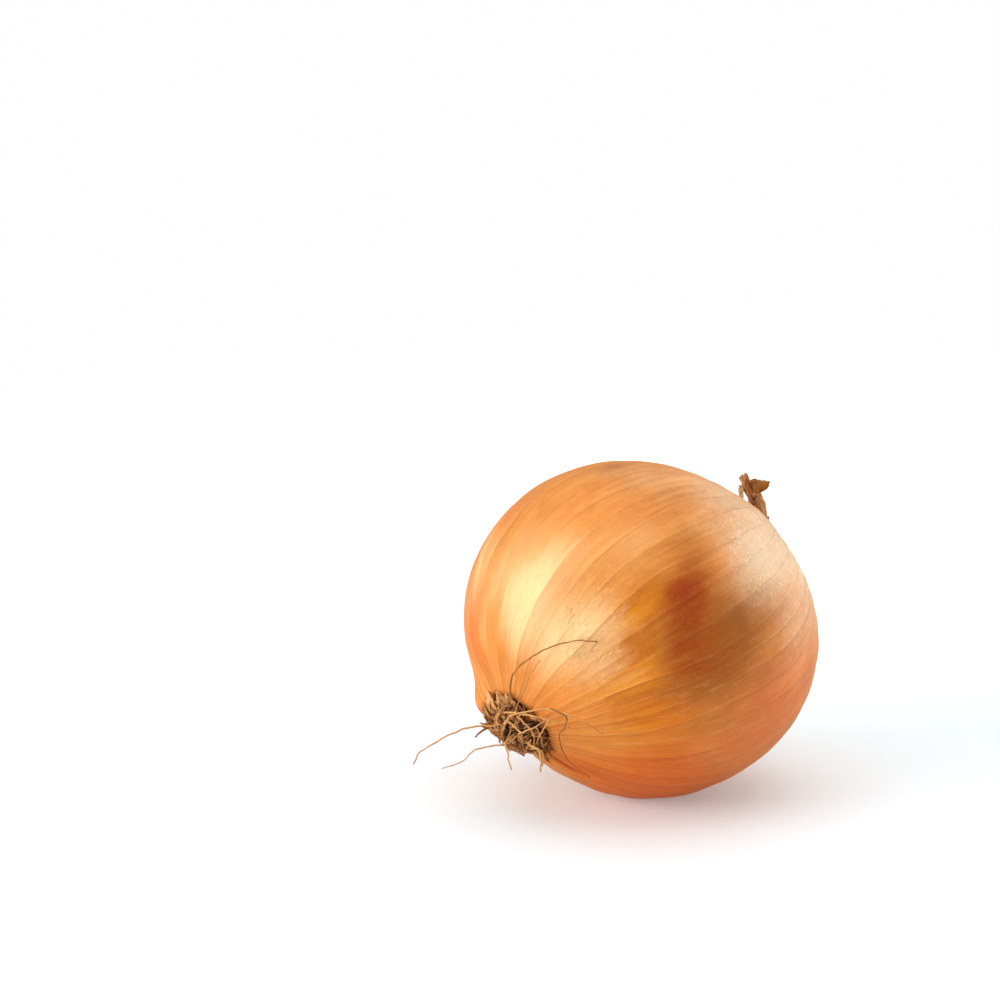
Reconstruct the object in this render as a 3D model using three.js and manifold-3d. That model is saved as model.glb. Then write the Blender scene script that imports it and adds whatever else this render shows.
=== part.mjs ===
import * as THREE from "three";
import { mergeVertices } from "three/addons/utils/BufferGeometryUtils.js";
import Module from "manifold-3d";

// A yellow onion lying on its side, in millimetres: the bulb in its dry skin, the mat of dry
// roots at its lower end and the torn, dry neck at its upper end.
// Shapes are made in the bulb's own frame: origin in its middle, +Z from the root to the neck
// and +X towards the side that it rests on. The group then lays them down on the table.

const wasm = await Module();
wasm.setup();

const { degToRad } = THREE.MathUtils;
const fullTurn = 2 * Math.PI;

// The bulb's envelope
const girthRadius = 41.6;
const poleRadius = 39;
const ovalLobe = 0.45;
const threeSidedLobe = 0.7;
const leanPerHeight = 0.079;
const leanBend = 0.00033;
const leanBearing = degToRad(-37.9);

// The skin's relief
const veinCount = 42;
const veinDepth = 0.28;
const veinTwist = 0.12;
const skinRows = 34;
const rowEase = 0.055;

// The lie on the table
const tiltFromUpright = degToRad(58.91);
const tableDrop = 40.2;
const swellAlong = -6;
const swellAcross = -8;
const swellHeight = 1.4;
const swellSpread = 0.5;

// The neck end
const neckRimPolar = 0.15;
const neckRise = 4.5;
const neckSpread = 0.2;
const neckRecess = 1.3;
const stubBaseRadius = 5.3;
const stubTopRadius = 3.2;
const stubHeight = 4.2;
const shredThickness = 0.65;
const shredSteps = 6;

// The root end
const rootRimPolar = 0.2;
const rootRecess = 1.7;
const plateRadius = 7.2;
const plateDome = 2.3;
const fitGap = 0.4;
const shortRootCount = 48;
const shortRootRadius = 0.42;
const longRootRadius = 0.3;
const rootClearance = 0.35;

function seededRandom(seed) {
  let state = seed;
  return () => {
    state = (state * 1664525 + 1013904223) % 4294967296;
    return state / 4294967296;
  };
}

const bell = (offset, width) => Math.exp(-((offset / width) ** 2));

// Signed difference of two bearings, between minus and plus half a turn.
const bearingGap = (a, b) => Math.atan2(Math.sin(a - b), Math.cos(a - b));

// The bulb's rings aren't stacked on one straight line: their centres lean and bend to one side.
function ringCentre(height) {
  const offset = leanPerHeight * height - leanBend * height * height;
  return new THREE.Vector3(offset * Math.cos(leanBearing), offset * Math.sin(leanBearing), 0);
}

const layDown = new THREE.Matrix4().makeRotationY(tiltFromUpright);
const standUp = layDown.clone().invert();
const down = new THREE.Vector3(0, 0, -1).applyMatrix4(standUp);
const swellDirection = new THREE.Vector3(swellAlong, swellAcross, -tableDrop)
  .applyMatrix4(standUp)
  .normalize();

function directionOf(polar, bearing) {
  const across = Math.sin(polar);
  return new THREE.Vector3(across * Math.cos(bearing), across * Math.sin(bearing), Math.cos(polar));
}

// Distance from the ring centres' line to the skin. The polar angle is 0 at the neck.
function skinRadius(polar, bearing) {
  const fromRoot = Math.PI - polar;
  const halfSum = (girthRadius + poleRadius) / 2;
  const halfDifference = (girthRadius - poleRadius) / 2;
  const round = halfSum - halfDifference * Math.cos(2 * polar);
  const lobes =
    Math.sin(polar) ** 2 *
    (ovalLobe * Math.cos(2 * bearing + 0.71) + threeSidedLobe * Math.cos(3 * bearing - 2.29));
  const swell = swellHeight * bell(directionOf(polar, bearing).angleTo(swellDirection), swellSpread);
  const neckCone = neckRise * bell(polar, neckSpread);
  const rootCollar = 0.5 * bell(fromRoot - 0.24, 0.09);
  const tornPoint =
    3.4 * bell(bearingGap(bearing, degToRad(108)), 0.4) * bell(fromRoot - 0.28, 0.16);
  const tornLip =
    0.7 * bell(bearingGap(bearing, degToRad(-28)), 0.16) * bell(fromRoot - 0.36, 0.2);
  return round + lobes + swell + neckCone + rootCollar + tornPoint + tornLip;
}

// The veins run from root to neck, unevenly spaced and with a slight twist.
function veinBearing(turn, polar) {
  const uneven =
    0.045 * Math.sin(3 * fullTurn * turn + 1) + 0.02 * Math.sin(7 * fullTurn * turn + 2.2);
  return fullTurn * turn + uneven + veinTwist * Math.cos(polar);
}

function skinPoint(turn, polar) {
  const bearing = veinBearing(turn, polar);
  const fade = Math.min(1, 1.6 * Math.sin(polar));
  const ridge = -0.5 * veinDepth * fade * Math.cos(fullTurn * veinCount * turn);
  const point = directionOf(polar, bearing).multiplyScalar(skinRadius(polar, bearing) + ridge);
  point.add(ringCentre(point.z));
  // What would dip under the table is pressed flat on it.
  const dip = Math.max(0, point.dot(down) - tableDrop);
  return point.addScaledVector(down, -dip);
}

// A closed surface over rings of equal length, with one point before the first and one after
// the last. Seen along the stack, each ring runs the same way round.
function surfaceOverRings(firstPole, rings, lastPole) {
  const perRing = rings[0].length;
  const positions = [firstPole, ...rings.flat(), lastPole].flatMap((p) => [p.x, p.y, p.z]);
  const last = perRing * rings.length + 1;
  const index = [];
  for (let column = 0; column < perRing; column++) {
    const next = (column + 1) % perRing;
    index.push(0, 1 + column, 1 + next);
    for (let row = 0; row + 1 < rings.length; row++) {
      const here = 1 + row * perRing;
      const below = here + perRing;
      index.push(here + column, below + column, below + next);
      index.push(here + column, below + next, here + next);
    }
    index.push(last, last - perRing + next, last - perRing + column);
  }
  const geometry = new THREE.BufferGeometry();
  geometry.setAttribute("position", new THREE.Float32BufferAttribute(positions, 3));
  geometry.setIndex(index);
  return geometry;
}

function roundRing(count, radius, height, flute = () => 1) {
  const centre = ringCentre(height);
  return Array.from({ length: count }, (_, i) => {
    const bearing = (fullTurn * i) / count;
    const r = radius * flute(bearing);
    return new THREE.Vector3(r * Math.cos(bearing), r * Math.sin(bearing), height).add(centre);
  });
}

function onAxis(height) {
  return ringCentre(height).setZ(height);
}

// Where the skin ends round the neck and round the roots
const neckRimHeight = skinRadius(neckRimPolar, 0) * Math.cos(neckRimPolar);
const neckFloor = neckRimHeight - neckRecess;
const rootRimHeight = -poleRadius * Math.cos(rootRimPolar);
const rootFloor = rootRimHeight + rootRecess;

function makeBulb() {
  const columns = 2 * veinCount;
  const rings = [];
  rings.push(roundRing(columns, stubBaseRadius + fitGap, neckFloor));
  rings.push(roundRing(columns, stubBaseRadius + fitGap, neckRimHeight - 0.3));
  for (let row = 0; row <= skinRows; row++) {
    const along = row / skinRows;
    const eased = along - rowEase * Math.sin(fullTurn * along);
    const polar = neckRimPolar + (Math.PI - rootRimPolar - neckRimPolar) * eased;
    rings.push(Array.from({ length: columns }, (_, i) => skinPoint(i / columns, polar)));
  }
  rings.push(roundRing(columns, plateRadius + fitGap, rootRimHeight + 0.3));
  rings.push(roundRing(columns, plateRadius + fitGap, rootFloor));
  return surfaceOverRings(onAxis(neckFloor), rings, onAxis(rootFloor));
}

function solidFrom(geometry) {
  const bare = geometry.clone();
  bare.deleteAttribute("normal");
  bare.deleteAttribute("uv");
  const merged = mergeVertices(bare, 1e-4);
  const triVerts = new Uint32Array(merged.index.array);
  const vertProperties = merged.attributes.position.array;
  return new wasm.Manifold(new wasm.Mesh({ numProp: 3, vertProperties, triVerts }));
}

function fuse(geometries) {
  const whole = geometries.map(solidFrom).reduce((joined, next) => joined.add(next));
  const mesh = whole.getMesh();
  const geometry = new THREE.BufferGeometry();
  geometry.setAttribute("position", new THREE.BufferAttribute(mesh.vertProperties, 3));
  geometry.setIndex(new THREE.BufferAttribute(mesh.triVerts, 1));
  return geometry;
}

// A dry strip of neck skin, widest where its widths say, that leans further out along its length.
function makeShred({ bearing, baseWidth, tipWidth, length, baseLean, tipLean }) {
  const outward = directionOf(Math.PI / 2, degToRad(bearing));
  const sideways = new THREE.Vector3(-outward.y, outward.x, 0);
  const point = onAxis(neckRimHeight).addScaledVector(outward, stubTopRadius - 0.4);
  const rings = [];
  for (let step = 0; step <= shredSteps; step++) {
    const along = step / shredSteps;
    const lean = degToRad(baseLean + (tipLean - baseLean) * along);
    const heading = new THREE.Vector3(0, 0, Math.cos(lean)).addScaledVector(outward, Math.sin(lean));
    const face = new THREE.Vector3().crossVectors(sideways, heading).normalize();
    const halfWidth = 0.5 * (baseWidth + (tipWidth - baseWidth) * along);
    const corner = (across, through) =>
      point
        .clone()
        .addScaledVector(sideways, across * halfWidth)
        .addScaledVector(face, 0.5 * through * shredThickness);
    rings.push([corner(1, -1), corner(-1, -1), corner(-1, 1), corner(1, 1)]);
    point.addScaledVector(heading, length / shredSteps);
  }
  const middle = (ring) => ring.reduce((sum, p) => sum.add(p), new THREE.Vector3()).multiplyScalar(0.25);
  return surfaceOverRings(middle(rings[shredSteps]), rings.reverse(), middle(rings[shredSteps]));
}

// The strips that stand up above the shoulder come first, then those round the far side.
const shreds = [
  { bearing: 155, baseWidth: 2.2, tipWidth: 1.4, length: 9.5, baseLean: 38, tipLean: 74 },
  { bearing: 174, baseWidth: 3.2, tipWidth: 1.6, length: 11, baseLean: 40, tipLean: 80 },
  { bearing: 197, baseWidth: 2.6, tipWidth: 4.8, length: 9.5, baseLean: 42, tipLean: 82 },
  { bearing: 216, baseWidth: 3.4, tipWidth: 2, length: 4.6, baseLean: 35, tipLean: 62 },
  { bearing: 239, baseWidth: 2.6, tipWidth: 1.2, length: 3.6, baseLean: 30, tipLean: 60 },
  { bearing: 276, baseWidth: 3, tipWidth: 1.6, length: 3.6, baseLean: 20, tipLean: 45 },
  { bearing: 312, baseWidth: 3.6, tipWidth: 2.4, length: 5, baseLean: 20, tipLean: 45 },
  { bearing: 351, baseWidth: 3, tipWidth: 1.4, length: 6, baseLean: 40, tipLean: 70 },
  { bearing: 32, baseWidth: 3.4, tipWidth: 1.8, length: 7, baseLean: 28, tipLean: 58 },
  { bearing: 72, baseWidth: 2.8, tipWidth: 1.3, length: 5.5, baseLean: 40, tipLean: 72 },
  { bearing: 112, baseWidth: 3.6, tipWidth: 2.2, length: 8, baseLean: 24, tipLean: 50 },
];

function makeNeck() {
  const sides = 20;
  const base = neckFloor + fitGap;
  const flute = (bearing) => 1 + 0.07 * Math.cos(5 * bearing + 0.8);
  const rings = [];
  rings.push(roundRing(sides, stubTopRadius, base + stubHeight, flute));
  rings.push(roundRing(sides, 0.5 * (stubTopRadius + stubBaseRadius), base + 0.55 * stubHeight, flute));
  rings.push(roundRing(sides, stubBaseRadius, base + 0.2 * stubHeight));
  rings.push(roundRing(sides, stubBaseRadius, base));
  const stub = surfaceOverRings(onAxis(base + stubHeight - 0.6), rings, onAxis(base));
  return fuse([stub, ...shreds.map(makeShred)]);
}

// Moves a point straight out until it stands clear of the skin.
function liftClear(point, clearance) {
  const centre = ringCentre(point.z);
  const fromCentre = point.clone().sub(centre);
  const distance = fromCentre.length();
  const polar = Math.acos(fromCentre.z / distance);
  const needed = skinRadius(polar, Math.atan2(fromCentre.y, fromCentre.x)) + clearance;
  if (distance < needed) {
    fromCentre.multiplyScalar(needed / distance);
  }
  return fromCentre.add(centre);
}

function sectionOf(sides, radius) {
  const corners = Array.from({ length: sides }, (_, i) => {
    const angle = (fullTurn * i) / sides;
    return new THREE.Vector2(radius * Math.cos(angle), radius * Math.sin(angle));
  });
  return new THREE.Shape(corners);
}

function makeRoot(points, sides, radius, steps) {
  const extrudePath = new THREE.CatmullRomCurve3(points, false, "centripetal");
  return new THREE.ExtrudeGeometry(sectionOf(sides, radius), { steps, extrudePath });
}

function plateHeight(radius) {
  return rootRimHeight - plateDome * (1 - (radius / plateRadius) ** 2);
}

function makePlate() {
  const sides = 28;
  const rings = [];
  rings.push(roundRing(sides, plateRadius, rootFloor - fitGap));
  for (const share of [1, 0.85, 0.6, 0.3]) {
    rings.push(roundRing(sides, plateRadius * share, plateHeight(plateRadius * share)));
  }
  return surfaceOverRings(onAxis(rootFloor - fitGap), rings, onAxis(plateHeight(0)));
}

// Short kinked roots start all over the plate, rise a little and then lie across their neighbours.
function makeShortRoots() {
  const random = seededRandom(11);
  const goldenAngle = Math.PI * (3 - Math.sqrt(5));
  const climbs = [80, 50, 15, -5].map(degToRad);
  const roots = [];
  for (let i = 0; i < shortRootCount; i++) {
    const startRadius = 0.88 * plateRadius * Math.sqrt((i + 0.5) / shortRootCount);
    const startBearing = i * goldenAngle;
    const point = onAxis(plateHeight(startRadius) + 0.9);
    point.addScaledVector(directionOf(Math.PI / 2, startBearing), startRadius);
    const stride = 1.5 + 1.1 * random();
    let heading = startBearing + 2.4 * (random() - 0.5);
    const points = [point.clone()];
    for (const climb of climbs) {
      const step = directionOf(Math.PI / 2, heading).multiplyScalar(Math.cos(climb));
      step.setZ(-Math.sin(climb));
      point.addScaledVector(step, stride);
      point.copy(liftClear(point, rootClearance + 1.6 * shortRootRadius));
      points.push(point.clone());
      heading += 1.5 * (random() - 0.5);
    }
    roots.push(makeRoot(points, 4, shortRootRadius, 5));
  }
  return roots;
}

// Long thin roots, each from the plate to its tip.
const longRoots = [
  [
    [-5.4, 4.2, -40.2], [-10.5, 1.6, -42.6], [-13.9, -2.2, -41.1], [-19.9, -4.2, -38.5], [-23.6, -8.7, -35.5],
    [-25.2, -12.9, -32.5], [-25.8, -16.1, -30.1], [-25.6, -19.5, -27.7], [-23.8, -22.9, -24.9],
  ],
  [[-5, 1.5, -40], [-8.4, -0.3, -41.5], [-16.9, -7.1, -39.1], [-20.5, -9.4, -37], [-23.2, -11.7, -34.2]],
  [
    [-4.5, 1.5, -40.5], [-9.5, -1.2, -42], [-12.4, -7.9, -41.3], [-13.1, -12.7, -39.6],
    [-11, -16.8, -37.6], [-7.5, -19.5, -35.7], [-2.7, -21.3, -33.9],
  ],
  [
    [-13.1, -14, -38.9], [-10.6, -16.9, -37.9], [-7.8, -15.8, -38.6], [-5.2, -13.3, -39.7],
    [-0.2, -11.7, -40], [5.8, -10.7, -39], [11.9, -11, -36.5],
  ],
  [[-4, 1, -40.5], [-10.6, -4.3, -41.6], [-11, -9.2, -41], [-9.4, -12.7, -39.5], [-6, -15.2, -37.3]],
  [
    [-5, 4, -40], [-6.4, 5.4, -44.2], [-7.6, 7.2, -46.3], [-9.3, 8.6, -49.5],
    [-10, 11, -55.1], [-10, 12.9, -60.2], [-8.4, 13.5, -63],
  ],
  [
    [-2.5, 1, -40.5], [-3, 0.8, -44.6], [-3.8, 1.1, -46.6], [-5.8, 1.7, -49.7],
    [-7.5, 2.1, -52.8], [-7.7, 2.3, -57.2], [-9.2, 3.8, -61.8],
  ],
  [[-2.5, 2, -40.5], [-3.4, 1.4, -45.2], [-2.5, -1.8, -48.1], [-0.4, -3.6, -50]],
  [[-1, 0, -40.5], [-1.5, -3.2, -42.6], [-2.4, -7.4, -43.5], [-1, -9.3, -44.6], [1.2, -9.7, -46.8]],
  [[-4.6, 5.4, -40], [-6, 6.6, -43.5], [-6.3, 6.5, -45.2], [-5.8, 7.9, -48.4]],
  [[-6, 2.2, -41.2], [-8, 1.1, -42.4], [-5.9, -3.5, -43], [-8, -8.2, -42], [-10, -12.5, -39.2]],
  [[4.6, 11.5, -41.2], [2, 8.8, -42.6], [-0.7, 4.8, -43], [-3.3, 0.2, -42.5]],
];

function makeLongRoots() {
  return longRoots.map((route) => {
    const clear = rootClearance + 2 * longRootRadius;
    const points = route.map(([x, y, z]) => liftClear(new THREE.Vector3(x, y, z), clear));
    points[0].set(...route[0]);
    return makeRoot(points, 5, longRootRadius, 4 * (route.length - 1));
  });
}

function makeRootTuft() {
  return fuse([makePlate(), ...makeShortRoots(), ...makeLongRoots()]);
}

const skinMaterial = new THREE.MeshStandardMaterial({ color: 0xe09850, roughness: 0.42, metalness: 0 });
const rootMaterial = new THREE.MeshStandardMaterial({ color: 0xa67c4c, roughness: 0.85, metalness: 0 });
const neckMaterial = new THREE.MeshStandardMaterial({ color: 0x8e5a26, roughness: 0.7, metalness: 0 });

function namedMesh(name, geometry, material) {
  const mesh = new THREE.Mesh(geometry, material);
  mesh.name = name;
  return mesh;
}

const onion = new THREE.Group();
onion.add(namedMesh("bulb", makeBulb(), skinMaterial));
onion.add(namedMesh("root_tuft", makeRootTuft(), rootMaterial));
onion.add(namedMesh("neck", makeNeck(), neckMaterial));
onion.rotation.y = tiltFromUpright;
onion.position.z = tableDrop;

const object = new THREE.Group();
object.add(onion);

export default object;
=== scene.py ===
import bpy
import numpy as np
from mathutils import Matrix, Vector


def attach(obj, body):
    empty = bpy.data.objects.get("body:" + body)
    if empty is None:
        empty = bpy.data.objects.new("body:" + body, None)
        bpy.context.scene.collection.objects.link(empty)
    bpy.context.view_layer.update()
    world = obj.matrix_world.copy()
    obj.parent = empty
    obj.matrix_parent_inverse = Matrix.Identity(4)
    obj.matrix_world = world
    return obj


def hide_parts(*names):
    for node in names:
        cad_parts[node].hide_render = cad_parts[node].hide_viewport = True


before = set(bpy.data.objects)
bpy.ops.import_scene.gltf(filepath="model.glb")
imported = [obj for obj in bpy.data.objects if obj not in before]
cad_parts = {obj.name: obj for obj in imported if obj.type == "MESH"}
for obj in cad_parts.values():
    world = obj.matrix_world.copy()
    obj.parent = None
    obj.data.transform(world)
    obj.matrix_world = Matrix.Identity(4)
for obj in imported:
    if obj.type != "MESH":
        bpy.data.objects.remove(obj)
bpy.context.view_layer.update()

# A yellow onion lying on its side. Shapes are worked out in millimetres in the bulb's own frame
# (origin in its middle, +Z from root to neck, +X towards the table), then laid down in metres.

fullTurn = 2 * np.pi
mm = 0.001

bulbShape = {
    "girthRadius": 41.6,
    "poleRadius": 39.0,
    "ovalLobe": 0.45,
    "threeSidedLobe": 0.7,
    "leanPerHeight": 0.079,
    "leanBend": 0.00033,
    "leanBearing": -37.9,     # degrees
    "tilt": 58.91,            # degrees from upright
    "tableDrop": 40.2,
    "swell": (-6.0, -8.0),    # where the side is fullest, along and across the table
    "swellHeight": 1.4,
    "swellSpread": 0.5,
    "neckRise": 4.5,
    "neckSpread": 0.2,
    "neckRim": 0.15,          # polar angle at the neck's edge, radians
    "neckHole": 5.7,
    "neckRecess": 1.3,
    "rootRim": 0.2,           # the same at the root, from the other pole
    "rootHole": 7.6,
    "rootRecess": 1.7,
    "columnsPerVein": 10,
    "rows": 226,
    "rowEase": 0.055,
    "collarRise": 0.5,        # the torn collar of skin round the roots
    # fuller places: rise, bearing in degrees and its spread, angle from the root and its spread
    "fullPlaces": [
        (3.4, 108, 0.4, 0.28, 0.16), (0.7, -28, 0.16, 0.36, 0.2), (0.9, 148, 0.4, 0.56, 0.17),
        (0.9, -135, 0.45, np.pi - 0.42, 0.17)],
}

skinRelief = {
    "veinCount": 42,
    "veinTwist": 0.12,
    "veinShift": 0.2,         # how far a vein strays, in panels
    "scallop": 0.12,          # how far a panel sinks between its veins
    "panelTilt": 0.13,
    "fineTilt": 0.045,
    "lengthWave": 0.1,
    "neckPleat": 0.35,
    "foldStep": 0.6,
    "foldGroove": 0.35,
}


def bell(offset, width):
    # 1 in the middle, falling off on both sides like a normal curve of this width
    return np.exp(-(offset / width) ** 2)


def ease(value, low, high):
    # 0 below low, 1 above high, smooth in between
    share = np.clip((value - low) / (high - low), 0, 1)
    return share * share * (3 - 2 * share)


def bearingGap(a, b):
    # signed difference of two bearings, within half a turn
    return np.arctan2(np.sin(a - b), np.cos(a - b))


def unit(vectors):
    return vectors / np.maximum(np.linalg.norm(vectors, axis=-1, keepdims=True), 1e-9)


def directionOf(polar, bearing):
    # latitude and longitude to a unit vector, polar angle 0 at the neck
    return np.stack([np.sin(polar) * np.cos(bearing), np.sin(polar) * np.sin(bearing), np.cos(polar)], -1)


def layDown(points):
    # the bulb's frame turned by its tilt about Y and lifted onto the table, in metres
    tilt = np.radians(bulbShape["tilt"])
    x = points[..., 0] * np.cos(tilt) + points[..., 2] * np.sin(tilt)
    z = points[..., 2] * np.cos(tilt) - points[..., 0] * np.sin(tilt) + bulbShape["tableDrop"]
    return np.stack([x, points[..., 1], z], -1) * mm


def ringCentre(height):
    # the rings' centres lean and bend to one side as they go up
    offset = bulbShape["leanPerHeight"] * height - bulbShape["leanBend"] * height ** 2
    side = np.radians(bulbShape["leanBearing"])
    return np.stack([offset * np.cos(side), offset * np.sin(side), 0 * offset], -1)


def latticeNoise(across, along, perTurn, seed, creased=False):
    # random heights on a lattice that closes on itself across, joined smoothly, or across in
    # straight lines with a crease at each whole number
    heights = np.random.default_rng(seed).uniform(-1, 1, (perTurn, 97))
    i, j = np.floor(across).astype(int), np.floor(along).astype(int)
    s, t = across - i, along - j
    t = t * t * (3 - 2 * t)
    if not creased:
        s = s * s * (3 - 2 * s)
    i, k, j, m = i % perTurn, (i + 1) % perTurn, j % 97, (j + 1) % 97
    near = heights[i, j] * (1 - s) + heights[k, j] * s
    far = heights[i, m] * (1 - s) + heights[k, m] * s
    return near * (1 - t) + far * t


tiltAngle = np.radians(bulbShape["tilt"])
down = np.array([np.sin(tiltAngle), 0, -np.cos(tiltAngle)])
swellLaid = np.array([*bulbShape["swell"], -bulbShape["tableDrop"]])
swellDirection = unit(np.array([
    swellLaid[0] * np.cos(tiltAngle) - swellLaid[2] * np.sin(tiltAngle),
    swellLaid[1],
    swellLaid[0] * np.sin(tiltAngle) + swellLaid[2] * np.cos(tiltAngle),
]))


def skinRadius(polar, bearing):
    # a round that is fuller at its girth, plus an oval and a three-sided lobe, a fuller side
    # under it, the cone of the neck, the torn collar round the roots and a few fuller places
    s = bulbShape
    fromRoot = np.pi - polar
    full = (s["girthRadius"] + s["poleRadius"]) / 2
    half = (s["girthRadius"] - s["poleRadius"]) / 2
    lobes = s["ovalLobe"] * np.cos(2 * bearing + 0.71) + s["threeSidedLobe"] * np.cos(3 * bearing - 2.29)
    toSwell = np.arccos(np.clip(directionOf(polar, bearing) @ swellDirection, -1, 1))
    radius = full - half * np.cos(2 * polar) + np.sin(polar) ** 2 * lobes
    radius = radius + s["swellHeight"] * bell(toSwell, s["swellSpread"])
    radius = radius + s["neckRise"] * bell(polar, s["neckSpread"])
    radius = radius + s["collarRise"] * bell(fromRoot - 0.24, 0.09)
    for rise, middle, spread, height, reach in s["fullPlaces"]:
        place = bell(bearingGap(bearing, np.radians(middle)), spread) * bell(fromRoot - height, reach)
        radius = radius + rise * place
    return radius


def veinBearing(turn, polar):
    # a full turn shared out unevenly, each vein shifted a little at random, with a slight twist
    r = skinRelief
    phase = turn * r["veinCount"]
    turn = turn + 0.5 / r["veinCount"]
    uneven = 0.045 * np.sin(3 * fullTurn * turn + 1) + 0.02 * np.sin(7 * fullTurn * turn + 2.2)
    shift = r["veinShift"] * latticeNoise(phase, polar * 1.7, r["veinCount"], 5, True)
    shift = shift + 0.035 * latticeNoise(phase, polar * 9, r["veinCount"], 6, True) * np.sin(polar)
    return fullTurn * turn + uneven + shift * fullTurn / r["veinCount"] + r["veinTwist"] * np.cos(polar)


def foldGap(polar, bearing):
    # signed distance, as a bearing, from the line where a torn skin folds over near the root
    line = np.radians(-31 + 0.17 * (np.degrees(np.pi - polar) - 12))
    return bearingGap(bearing, line)


def reliefAt(turn, polar, bearing):
    # panels that sink between their veins, tilt at random from vein to vein and ripple along,
    # pleats gathered into the neck and one fold near the root
    r = skinRelief
    phase = turn * r["veinCount"]
    inPanel = phase - np.floor(phase)
    fade = np.minimum(1, 1.6 * np.sin(polar))
    depth = r["scallop"] * (1 + 0.8 * latticeNoise(phase, polar * 2.3, r["veinCount"], 7))
    height = fade * depth * ((2 * inPanel - 1) ** 2 - 0.5)
    height = height + fade * r["panelTilt"] * latticeNoise(phase, polar * 2.6, r["veinCount"], 3, True)
    height = height + fade * r["fineTilt"] * latticeNoise(
        phase * 4, polar * 5, 4 * r["veinCount"], 4, True)
    height = height + fade * r["lengthWave"] * latticeNoise(
        phase * 0.5, polar * 3.5, r["veinCount"] // 2, 8)
    pleats = latticeNoise(phase, polar * 3, r["veinCount"], 9, True)
    height = height + r["neckPleat"] * pleats * bell(polar - 0.2, 0.13)
    fromRoot = np.degrees(np.pi - polar)
    gap = foldGap(polar, bearing)
    reach = ease(fromRoot, 9, 15) * (1 - ease(fromRoot, 22, 36))
    lip = r["foldStep"] * ease(gap, -0.02, 0.07) * (1 - ease(gap, 0.3, 0.8))
    return height + reach * (lip - r["foldGroove"] * bell(gap + 0.05, 0.05))


def ringFaces(rows, columns):
    # quads between neighbouring rings and a fan at each end; point 0 is the first pole, the
    # rings follow and the last point is the other pole
    column = np.arange(columns)
    after = (column + 1) % columns
    here = 1 + np.arange(rows - 1)[:, None] * columns
    quads = np.stack([here + column, here + columns + column, here + columns + after, here + after], -1)
    last = rows * columns + 1
    start = np.stack([0 * column, 1 + column, 1 + after], -1)
    end = np.stack([0 * column + last, last - columns + after, last - columns + column], -1)
    return quads.reshape(-1, 4), np.concatenate([start, end])


def makePiece(name, points, quads, tris, values, uv=None):
    # one mesh object from arrays: points in the bulb's frame, faces, named values at the points
    mesh = bpy.data.meshes.new(name)
    mesh.vertices.add(len(points))
    mesh.vertices.foreach_set("co", layDown(points).astype(np.float32).ravel())
    corners = np.concatenate([quads.ravel(), tris.ravel()]).astype(np.int32)
    sizes = np.concatenate([np.full(len(quads), 4), np.full(len(tris), 3)])
    mesh.loops.add(len(corners))
    mesh.loops.foreach_set("vertex_index", corners)
    mesh.polygons.add(len(sizes))
    mesh.polygons.foreach_set("loop_start", (np.cumsum(sizes) - sizes).astype(np.int32))
    mesh.update(calc_edges=True)
    mesh.polygons.foreach_set("use_smooth", np.ones(len(sizes), bool))
    for key, value in values.items():
        kind, field = ("FLOAT_VECTOR", "vector") if value.ndim == 2 else ("FLOAT", "value")
        layer = mesh.attributes.new(key, kind, "POINT")
        layer.data.foreach_set(field, value.astype(np.float32).ravel())
    if uv is not None:
        layer = mesh.uv_layers.new(name="veins")
        layer.data.foreach_set("uv", uv.astype(np.float32).ravel())
    mesh.validate()
    piece = bpy.data.objects.new(name, mesh)
    bpy.context.scene.collection.objects.link(piece)
    print(name, "has", len(quads) * 2 + len(tris), "triangles")
    return piece


def paint(red, green, blue):
    # a colour as seen on a screen, 0 to 255, to the linear value that a shader takes
    seen = np.array([red, green, blue]) / 255
    linear = np.where(seen <= 0.04045, seen / 12.92, ((seen + 0.055) / 1.055) ** 2.4)
    return (*linear.tolist(), 1.0)


def addNode(tree, kind, inputs, **settings):
    # a node with its inputs linked or set, and its own settings
    node = tree.nodes.new(kind)
    for key, value in settings.items():
        setattr(node, key, value)
    for key, value in inputs.items():
        if isinstance(value, bpy.types.NodeSocket):
            tree.links.new(value, node.inputs[key])
        else:
            node.inputs[key].default_value = value
    return node


def calc(tree, operation, *values):
    return addNode(tree, "ShaderNodeMath", dict(enumerate(values)), operation=operation).outputs[0]


def plus(tree, first, second):
    return calc(tree, "ADD", first, second)


def times(tree, first, second):
    return calc(tree, "MULTIPLY", first, second)


def swing(tree, texture, amount):
    # how far a texture lies from its middle, times an amount
    return times(tree, calc(tree, "SUBTRACT", texture, 0.5), amount)


def weighted(tree, textures, shares):
    # the sum of the named textures, each times its own share
    total = 0.0
    for key, share in shares.items():
        total = calc(tree, "MULTIPLY_ADD", textures[key], share, total)
    return total


def blend(tree, factor, first, second, mode="MIX"):
    # the first colour at 0, the second at 1
    inputs = {0: factor, 6: first, 7: second}
    node = addNode(tree, "ShaderNodeMix", inputs, data_type="RGBA", blend_type=mode)
    return node.outputs[2]


def remap(tree, value, low, high, toLow=0.0, toHigh=1.0):
    # from low..high to toLow..toHigh, smooth at both ends
    inputs = {"Value": value, "From Min": low, "From Max": high, "To Min": toLow, "To Max": toHigh}
    return addNode(tree, "ShaderNodeMapRange", inputs, interpolation_type="SMOOTHSTEP").outputs[0]


def scaled(tree, vector, x, y=None, z=None):
    # stretched by a number for each axis, or by one number for all three
    inputs = {0: vector, 1: (x, x if y is None else y, x if z is None else z)}
    return addNode(tree, "ShaderNodeVectorMath", inputs, operation="MULTIPLY").outputs[0]


def noise(tree, vector, detail=3.0, roughness=0.55, distortion=0.0):
    # 0 to 1, about 0.5 in the middle
    inputs = {"Vector": vector, "Scale": 1.0, "Detail": detail, "Roughness": roughness,
              "Distortion": distortion}
    return addNode(tree, "ShaderNodeTexNoise", inputs).outputs[0]


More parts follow.
